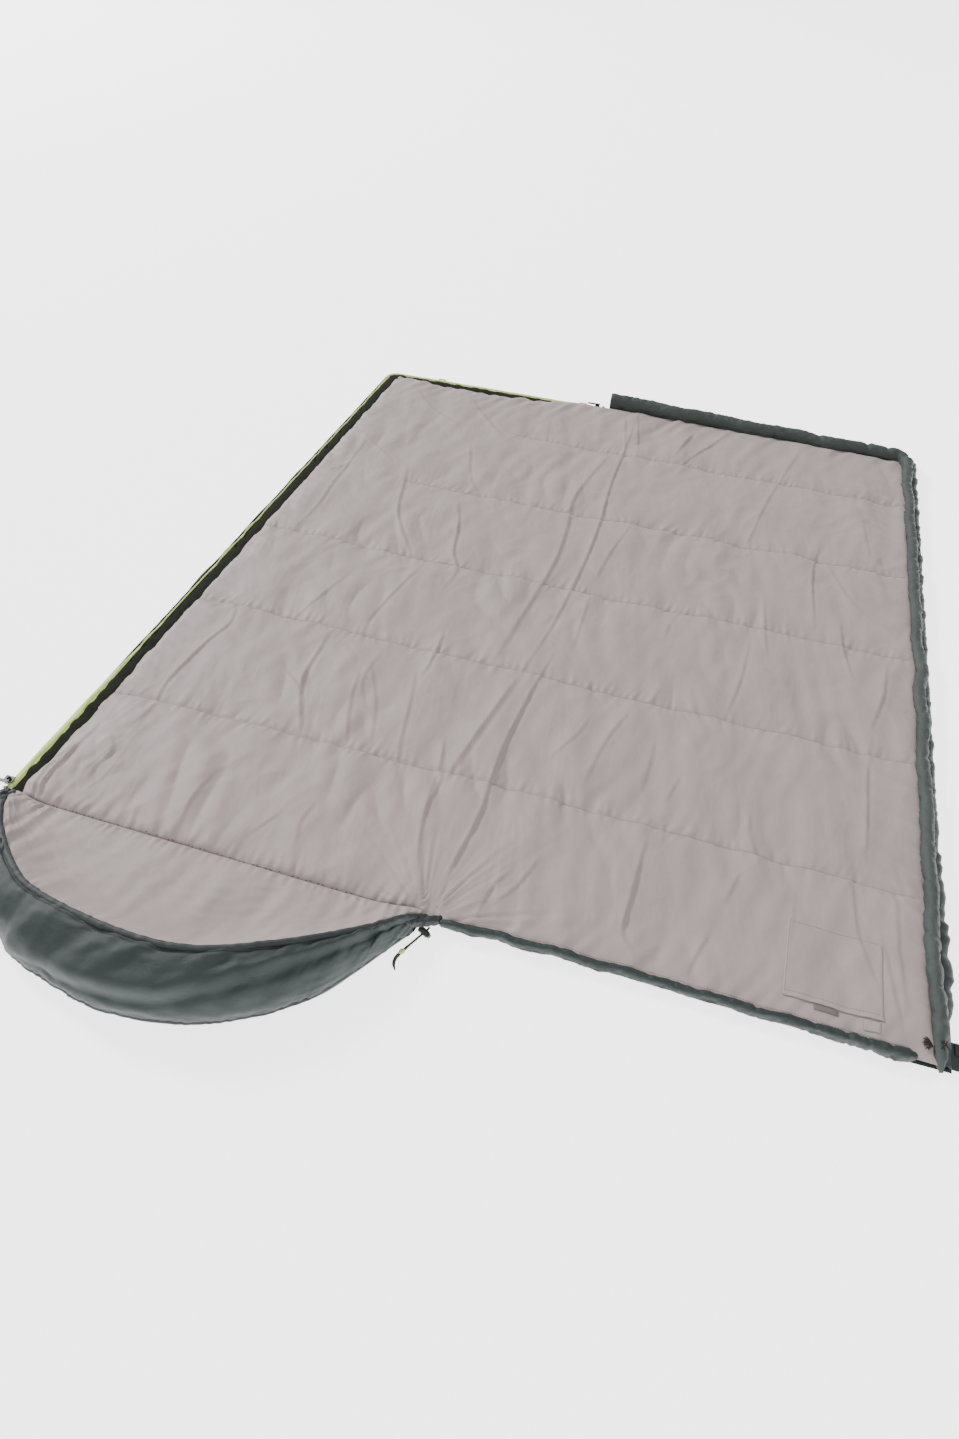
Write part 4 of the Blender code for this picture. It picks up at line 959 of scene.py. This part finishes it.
# ------------------------------------------------------------------ hood
# rim (top of the raised edge) and ground outline, from the zip side to the fold side
RIM = np.array([(-0.822, -0.004, 0.030), (-0.818, -0.030, 0.044), (-0.788, -0.078, 0.054), (-0.738, -0.126, 0.060), (-0.684, -0.167, 0.068), (-0.630, -0.196, 0.075), (-0.520, -0.222, 0.088), (-0.387, -0.234, 0.097),
                (-0.289, -0.221, 0.099), (-0.181, -0.166, 0.088), (-0.104, -0.110, 0.070), (-0.062, -0.072, 0.056), (-0.028, -0.036, 0.042), (-0.006, -0.012, 0.030)])
OUTL = np.array([(-0.846, -0.004), (-0.852, -0.052), (-0.832, -0.110), (-0.790, -0.172), (-0.730, -0.226), (-0.658, -0.268), (-0.560, -0.303), (-0.441, -0.325),
                 (-0.321, -0.316), (-0.207, -0.270), (-0.119, -0.202), (-0.0745, -0.1385), (-0.0410, -0.0812), (-0.0100, -0.0305)])
HN = 360
rimc = catmull(RIM, 30)
outc = catmull(np.concatenate([OUTL, np.zeros((len(OUTL), 1))], 1), 30)[:, :2]
# same parameter for both lines
par = np.linspace(0, 1, len(rimc))
seg = np.linalg.norm(np.diff(rimc, axis=0), axis=1)
cum = np.concatenate([[0], np.cumsum(seg)])
HS = np.linspace(0, cum[-1], HN)
U = np.interp(HS, cum, par)
rim = np.stack([np.interp(U, par, rimc[:, k]) for k in range(3)], 1)
out = np.stack([np.interp(U, par, outc[:, k]) for k in range(2)], 1)
HL = cum[-1]


def hood_shell():
    m = 84
    inward = rim[:, :2] - out
    wid = np.linalg.norm(inward, axis=1)
    inn = inward / (wid[:, None] + 1e-9)
    H = rim[:, 2]
    t = np.linspace(0, 1, m)
    # section: 0 at the rim, out over the puffed band, down to the ground, and back underneath
    k_t = np.array([0.0, 0.10, 0.28, 0.46, 0.60, 0.70, 0.78, 0.86, 1.0])
    k_in = np.array([0.0, 0.16, 0.42, 0.76, 0.97, 1.00, 0.96, 0.84, 0.35])   # share of the way from rim to outline
    k_z = np.array([1.0, 1.035, 0.985, 0.80, 0.50, 0.27, 0.08, 0.010, 0.0])
    fin = np.interp(t, np.linspace(0, 1, 200), catmull(np.stack([k_t, k_in], 1), 30)[:, 1][np.linspace(0, 240, 200).astype(int)])
    fz = np.interp(t, np.linspace(0, 1, 200), catmull(np.stack([k_t, k_z], 1), 30)[:, 1][np.linspace(0, 240, 200).astype(int)])
    T, S = np.meshgrid(t, HS)
    XY = rim[:, None, :2] - inn[:, None, :] * (wid[:, None] * fin[None, :])[..., None]
    Z = H[:, None] * fz[None, :] + 0.0006
    st = (HS[1] - HS[0], 0.22 / m)
    shape = T.shape
    n = field(shape, st, 0.13, 0.30, 501, 1.25) * 0.0020 + field(shape, st, 0.05, 0.22, 502, 1.1) * 0.0010 + field(shape, st, 0.022, 0.045, 503) * 0.0003
    # gathers at both ends run from the rim down to the seam
    end_r = np.exp(-(HL - S) / 0.12)
    end_l = np.exp(-S / 0.07)
    g1 = np.interp(S + 0.05 * T, np.linspace(0, HL + 0.1, 1500), line_noise(1500, (HL + 0.1) / 1500, 0.017, 504))
    g2 = np.interp(S - 0.06 * T, np.linspace(-0.1, HL, 1500), line_noise(1500, (HL + 0.1) / 1500, 0.030, 505))
    n += (end_r ** 1.6 + end_l) * (0.0010 * g1 + 0.0022 * g2)
    n += 0.0007 * g2 * np.exp(-T / 0.16)
    n += 0.0008 * g1 * np.exp(-np.abs(T - 0.66) / 0.05)
    # the soft fold that runs across the band
    fold = np.interp(S, [0.0, 0.35 * HL, 0.62 * HL, 0.86 * HL, HL], [0.50, 0.46, 0.36, 0.16, 0.10])
    n += 0.0050 * np.exp(-((T - fold) / 0.055) ** 2) * sm((S - 0.3 * HL) / (0.2 * HL)) - 0.0040 * np.exp(-((T - fold - 0.10) / 0.045) ** 2) * sm((S - 0.3 * HL) / (0.2 * HL))
    lim = sm(T / 0.05) * sm((0.80 - T) / 0.12)
    n = n * lim
    # seam lines: below the rim channel, and along the lower edge
    n -= 0.0022 * np.exp(-((T - 0.085) / 0.010) ** 2)
    n -= 0.0040 * np.exp(-((T - 0.665) / 0.012) ** 2) - 0.0018 * np.exp(-((T - 0.70) / 0.014) ** 2)
    dz = np.gradient(Z, axis=1)
    dr = np.gradient(wid[:, None] * fin[None, :], axis=1)
    ln = np.hypot(dz, dr) + 1e-9
    nr, nz = -dz / ln, dr / ln          # outward across the band, and up
    sgn = np.where(T < 0.62, 1.0, 1.0)
    XY = XY - inn[:, None, :] * (n * nr * sgn)[..., None]
    Z = np.maximum(Z + n * nz, 0.0006)
    pts = np.concatenate([XF + XY[..., 0:1], Y0 + XY[..., 1:2], Z[..., None]], -1)
    ob = grid("hood_cover", pts, M_SHELL, flip=True)
    so = ob.modifiers.new("cloth", "SOLIDIFY")
    so.thickness = 0.0010
    so.offset = -1.0
    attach(ob, "hood")
    for nm, tt in (("hood_rim_stitches", 0.070), ("hood_rim_stitches_2", 0.100), ("hood_edge_stitches", 0.640)):
        i = int(round(tt * (m - 1)))
        st_ = stitches(nm, pts[3:-3, i] + np.array([0, 0, 0.0005]), M_THREADD, normal=(0, -0.4, 0.9))
        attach(st_, "hood")
    return ob, pts


hood_cover, HPTS = hood_shell()


def hood_under():
    """The flat underside of the hood, from the band back to the hood seam."""
    m = 30
    edge = HPTS[:, -1]
    base = np.stack([XF + np.interp(np.linspace(0, 1, HN), [0, 1], [-0.862, -0.004]), np.full(HN, Y0 + 0.0), np.full(HN, 0.0010)], 1)
    t = np.linspace(0, 1, m)[None, :, None]
    pts = edge[:, None, :] * (1 - t) + base[:, None, :] * t
    ob = grid("hood_underside", pts, M_SHELL, flip=True)
    so = ob.modifiers.new("cloth", "SOLIDIFY")
    so.thickness = 0.0009
    so.offset = -1.0
    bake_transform(ob)
    return ob


under = hood_under()
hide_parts("hood_shell")


def hood_lining():
    m = 130
    n = HN
    q = U
    base = np.stack([np.interp(np.linspace(0, 1, n), [0, 1], [-0.823, -0.004]), np.full(n, -0.0005)], 1)
    base[:, 0] = np.interp(np.linspace(0, 1, n), [0, 0.15, 0.85, 1], [-0.823, -0.740, -0.120, -0.004])
    t = np.linspace(0, 1, m)
    T, S = np.meshgrid(t, HS)
    r2 = rim[:, :2] + (rim[:, :2] - out) / (np.linalg.norm(rim[:, :2] - out, axis=1)[:, None] + 1e-9) * 0.004
    XY = base[:, None, :] * (1 - T[..., None]) + r2[:, None, :] * T[..., None]
    ln = np.linalg.norm(r2 - base, axis=1)
    toR = (1 - T) * ln[:, None]                 # distance to the rim
    toB = T * ln[:, None]
    H = rim[:, 2][:, None]
    wall = np.exp(-(toR / 0.040) ** 1.5)
    floor = 0.0115 + 0.0165 * (1 - np.exp(-toB / 0.022)) ** 0.8
    floor = np.minimum(floor, 0.0275 + 0 * H)
    Z = floor + (np.maximum(H - 0.001, 0.012) - floor) * wall
    st = (HS[1] - HS[0], 0.2 / m)
    shape = T.shape
    nz = field(shape, st, 0.16, 0.30, 601, 0.9) * 0.0014 + field(shape, st, 0.05, 0.20, 602, 1.1) * 0.0005 + field(shape, st, 0.020, 0.05, 603) * 0.0002
    g = np.interp(S, np.linspace(0, HL, 1500), line_noise(1500, HL / 1500, 0.022, 604))
    g3 = np.interp(S, np.linspace(0, HL, 1500), line_noise(1500, HL / 1500, 0.050, 605))
    nz += 0.0026 * g * np.exp(-toB / 0.011) * (1 - np.exp(-toB / 0.004)) + 0.0010 * g3 * np.exp(-toB / 0.035) * (1 - np.exp(-toB / 0.004))
    nz += 0.0008 * g * np.exp(-toR / 0.014) + 0.0012 * g3 * np.exp(-toR / 0.05)
    # slack folds at the zip end
    e = np.exp(-S / 0.12)
    for a0, b0, a1, b1, am in ((-0.815, -0.012, -0.770, -0.060, 5), (-0.806, -0.030, -0.760, -0.085, 4), (-0.800, -0.006, -0.735, -0.030, 4), (-0.770, -0.040, -0.690, -0.070, 3)):
        dd = np.array([a1 - a0, b1 - b0]); LL = np.hypot(*dd); dd = dd / LL
        al = (XY[..., 0] - a0) * dd[0] + (XY[..., 1] - b0) * dd[1]
        ac = (XY[..., 0] - a0) * dd[1] - (XY[..., 1] - b0) * dd[0]
        nz += am * 1e-3 * np.exp(-((al - LL / 2) / (0.45 * LL)) ** 2) * np.where(ac > 0, np.exp(-ac / 0.012), np.exp(ac / 0.004))
    nz *= sm(toB / 0.01) * sm(toR / 0.006)
    Z = np.clip(Z + nz, 0.006, 0.112)
    pts = np.concatenate([XF + XY[..., 0:1], Y0 + XY[..., 1:2], Z[..., None]], -1)
    uv = XY.copy()
    ob = grid("hood_inner", pts, M_HOODLIN, uv=uv)
    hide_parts("hood_lining")
    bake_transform(ob)
    return ob, pts


hood_inner, HIN = hood_lining()
# painted shadow: a dark taupe line along the hood seam stands for the shade in the groove between lining and hood
# lining
st_ = stitches("hood_seam_painted_shadow", laid(np.linspace(-0.812, -0.03, 500), 0.0005 + 0.0012 * line_noise(500, 0.782 / 500, 0.026, 611), -0.0003), M_SEAM, length=0.0060, gap=0.0034, r=0.0009)
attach(st_, "lower_half")
st_ = stitches("hood_seam_stitches", laid(np.linspace(-0.815, -0.02, 400), np.full(400, 0.002), 0.0002), M_THREAD)
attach(st_, "lower_half")


def rim_roll():
    """The cord channel rolled over the rim."""
    n = 420
    tail = W3(0.003, -0.0078, 0.0235), W3(0.0105, -0.0098, 0.0150), W3(0.0148, -0.0152, 0.0100)
    pth = np.concatenate([rim + np.array([XF, Y0, 0.0015]), np.array(tail)], 0)
    path, L = even(catmull(pth[:: 12].tolist() + [list(t) for t in tail[1:]], 8), n)
    s = np.linspace(0, L, n)
    m = 20
    a = np.linspace(0, 2 * np.pi, m, endpoint=False)
    S, A = np.meshgrid(s, a, indexing="ij")
    st = (s[1] - s[0], 2 * np.pi * 0.005 / m)
    ring = field(S.shape, st, 0.02, 0.020, 701) * 0.00035
    gather = np.exp(-(L - S) / 0.10) + 0.4 * np.exp(-S / 0.05)
    ring += gather * 0.0007 * np.interp(S, np.linspace(0, L, 1200), line_noise(1200, L / 1200, 0.008, 702))
    rad = np.interp(s, [0, 0.02, L - 0.05, L], [0.0050, 0.0062, 0.0058, 0.0040])[:, None] + ring
    R = np.stack([rad * np.cos(A), rad * np.sin(A) * 0.9], -1)
    # its darker slate is painted shade under the rim's overhang
    ob = sweep("hood_rim", path, lambda s_: R, M_RIM_SHADED)
    inner = sweep("cord_in_channel", path[2:-2], lambda s_: np.tile(round_ring(8, 0.0015), (len(s_), 1, 1)), M_CORD)
    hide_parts("hood_drawcord")
    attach(inner, "hood")
    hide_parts("hood_rim_channel")
    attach(ob, "hood")


rim_roll()
# ------------------------------------------------------------------ pocket
def pocket():
    n, m = 70, 60
    dx = np.linspace(0.600, 0.757, n)
    y = np.linspace(0.0395, 0.189, m)
    A, B = np.meshgrid(dx, y)
    lift = 0.0007 + 0.0008 * np.exp(-(B - 0.0395) / 0.02)
    Z = z_at(A, B) + lift
    Z += 0.0012 * np.exp(-(B - 0.0395) / 0.006) * (0.6 + 0.4 * np.sin(A * 60))
    edge = np.minimum(np.minimum(A - 0.600, 0.757 - A), 0.189 - B)
    Z -= 0.0008 * np.exp(-edge / 0.004)
    pts = np.stack([XF + A, Y0 + B, Z], -1)
    ob = grid("pocket_front", pts, M_LIN, uv=np.stack([A, B], -1))
    so = ob.modifiers.new("cloth", "SOLIDIFY")
    so.thickness = 0.0006
    so.offset = 0.0
    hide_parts("pocket_panel")
    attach(ob, "pocket_panel")
    hem = stitches("pocket_hem_stitches", pts[4][2:-2] + np.array([0, 0, 0.0006]), M_THREAD)
    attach(hem, "pocket_panel")
    for k, line in enumerate((pts[3:-1, 1], pts[3:-1, -2], pts[-2, 1:-1])):
        o = stitches(f"pocket_seam_{k}", line + np.array([0, 0, 0.0006]), M_THREAD)
        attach(o, "pocket_panel")


pocket()


def laid_patch(name, d0, d1, y0, y1, material, body, node, lift=0.0012, thick=0.0012, n=24, m=14):
    A, B = np.meshgrid(np.linspace(d0, d1, n), np.linspace(y0, y1, m))
    e = np.minimum(np.minimum(A - d0, d1 - A), np.minimum(B - y0, y1 - B))
    Z = z_at(A, B) + lift - 0.0006 * np.exp(-e / 0.0012)
    ob = grid(name, np.stack([XF + A, Y0 + B, Z], -1), material, uv=np.stack([A, B], -1))
    so = ob.modifiers.new("cloth", "SOLIDIFY")
    so.thickness = thick
    so.offset = 0.0
    if node:
        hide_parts(node)
    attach(ob, body)
    return ob


laid_patch("pocket_hook_tape", 0.650, 0.688, 0.0285, 0.0375, M_HOOKB, "upper_half", "pocket_hook_patch")
laid_patch("pocket_corner_patch", 0.728, 0.752, 0.018, 0.036, M_LIN, "upper_half", None, thick=0.0008)

# ------------------------------------------------------------------ drawcord, bead and lock
LOCK = W3(0.010, -0.028, 0.0075)
Ud = np.array([-0.45, -0.893, 0.0]) / math.hypot(0.45, 0.893)
BEAD = LOCK + Ud * 0.052
BEAD[2] = 0.0062
START = np.array(frame["nodes"] and LOCK - Ud * 0.0125 + np.array([0, 0, 0.0020]))
ctrl = [START, LOCK - Ud * 0.0075, LOCK, LOCK + Ud * 0.020, LOCK + Ud * 0.038, BEAD - Ud * 0.006 + np.array([0, 0, 0.0002]), BEAD + Ud * 0.0075 + np.array([0, 0, -0.0010]),
        W3(-0.0195, -0.0870, 0.0040), W3(-0.0190, -0.0980, 0.0036), W3(-0.0125, -0.1090, 0.0034)]
route, CORD_L = even(catmull(ctrl, 10), 110)
a_ = np.linspace(0, 2 * np.pi, 12, endpoint=False)


def cord_ring(s):
    S, A = np.meshgrid(s, a_, indexing="ij")
    r = np.interp(S, [0, 0.046, 0.056, 0.068, 0.074, s[-1] - 0.012, s[-1]], [0.0019, 0.0020, 0.0026, 0.0026, 0.0032, 0.0028, 0.0010])
    r = r + 0.00012 * np.cos(3 * A + S * 2600) + 0.00012 * np.cos(3 * A - S * 2600)
    end_ = 1.0
    return np.stack([r * np.cos(A) * end_, r * np.sin(A) * end_], -1)


route_d, _ = even(route, 420)
cord = sweep("drawcord", route_d, cord_ring, M_CORD)
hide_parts("drawcord_free", "drawcord_tail")
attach(cord, "hood")

# ------------------------------------------------------------------ CAD nodes that keep their shape
def finish_node(name, material, bevel=0.0, sub=0):
    ob = frame["nodes"][name]
    ob.data.materials.clear()
    ob.data.materials.append(material)
    if bevel:
        b = ob.modifiers.new("soft_edges", "BEVEL")
        b.width = bevel
        b.segments = 2
        b.limit_method = "ANGLE"
        b.angle_limit = math.radians(35)
    return ob


for nm, mt, bv in (("drawcord_bead", M_BEAD, 0), ("cord_lock_barrel", M_DARK, 0.0006), ("cord_lock_button", M_DARK, 0.0006), ("cord_lock_spring", M_STEEL, 0),
                   ("side_slider", M_METAL, 0.0004), ("foot_slider", M_METAL, 0.0004), ("side_pull", M_DARK, 0.0004), ("foot_pull", M_DARK, 0.0004),
                   ("hang_loop_corner", M_WEB, 0.0003), ("hang_loop_middle", M_WEB, 0.0003), ("closure_hook_patch", M_HOOK, 0.0003),
                   ("closure_loop_patch", M_HOOK, 0.0003), ("lower_zip_top_stop", M_DARK, 0.0003), ("zip_retainer_box", M_DARK, 0.0004), ("zip_insertion_pin", M_DARK, 0.0003),
                   ("lower_insulation", M_FILL, 0), ("upper_insulation", M_FILL, 0), ("hood_insulation", M_FILL, 0), ("draft_tube_filling", M_FILL, 0)):
    finish_node(nm, mt, bv)
# the filling is sealed inside its covers, which stand for it
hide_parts("lower_insulation", "upper_insulation")
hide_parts("hood_insulation")
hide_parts("draft_tube_filling")



def tab():
    """The webbing tab that closes the top of the zip, its root sewn in under the edge."""
    A, B = np.meshgrid(np.linspace(0.8655, 0.935, 40), np.linspace(0.006, 0.054, 26))
    e = np.minimum(np.minimum(0.935 - A, A - 0.85), np.minimum(B - 0.006, 0.054 - B))
    Z = 0.0050 + 0.0005 * np.exp(-((e - 0.0015) / 0.0010) ** 2) - 0.0006 * np.exp(-e / 0.0006)
    ob = grid("closing_tab", np.stack([XF + A, Y0 + B, Z], -1), M_TAB, uv=np.stack([A, B], -1))
    so = ob.modifiers.new("web", "SOLIDIFY")
    so.thickness = 0.0016
    so.offset = -1.0
    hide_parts("closure_tab")
    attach(ob, "closure_tab")
    line = np.array([(0.871, 0.0085), (0.9325, 0.0085), (0.9325, 0.0515), (0.871, 0.0515)])
    p, _ = even(line, 160)
    o = stitches("closing_tab_stitches", np.concatenate([XF + p[:, :1], Y0 + p[:, 1:], np.full((160, 1), 0.0056)], 1), M_THREADD)
    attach(o, "closure_tab")


tab()

# ------------------------------------------------------------------ stage and light
me = bpy.data.meshes.new("floor")
me.from_pydata([(-40, -40, -0.0004), (40, -40, -0.0004), (40, 40, -0.0004), (-40, 40, -0.0004)], [], [(0, 1, 2, 3)])
floor = bpy.data.objects.new("floor", me)
bpy.context.scene.collection.objects.link(floor)
fm = bpy.data.materials.new("pale_floor")
fm.use_nodes = True
fb = fm.node_tree.nodes["Principled BSDF"]
fb.inputs["Base Color"].default_value = (0.93, 0.93, 0.93, 1)
fb.inputs["Roughness"].default_value = 0.9
fb.inputs["Specular IOR Level"].default_value = 0.1
fb.inputs["Emission Color"].default_value = (1.0, 1.0, 1.0, 1)
fb.inputs["Emission Strength"].default_value = 2.6
me.materials.append(fm)

world = bpy.data.worlds.new("studio")
bpy.context.scene.world = world
world.use_nodes = True
world.node_tree.nodes["Background"].inputs["Color"].default_value = (1.0, 1.0, 1.0, 1)
world.node_tree.nodes["Background"].inputs["Strength"].default_value = 0.70


def area(name, loc, to, size, energy):
    ld = bpy.data.lights.new(name, "AREA")
    ld.shape = "RECTANGLE"
    ld.size, ld.size_y = size
    ld.energy = energy
    ob = bpy.data.objects.new(name, ld)
    bpy.context.scene.collection.objects.link(ob)
    ob.location = loc
    d = Vector(to) - Vector(loc)
    ob.rotation_euler = d.to_track_quat("-Z", "Y").to_euler()


area("key", (-13.2, 6.3, 8.4), (0.1, 0.0, 0.0), (2.7, 2.7), 3060)
area("fill", (2.4, -4.2, 2.6), (0.0, 0.2, 0.0), (2.6, 2.2), 88)
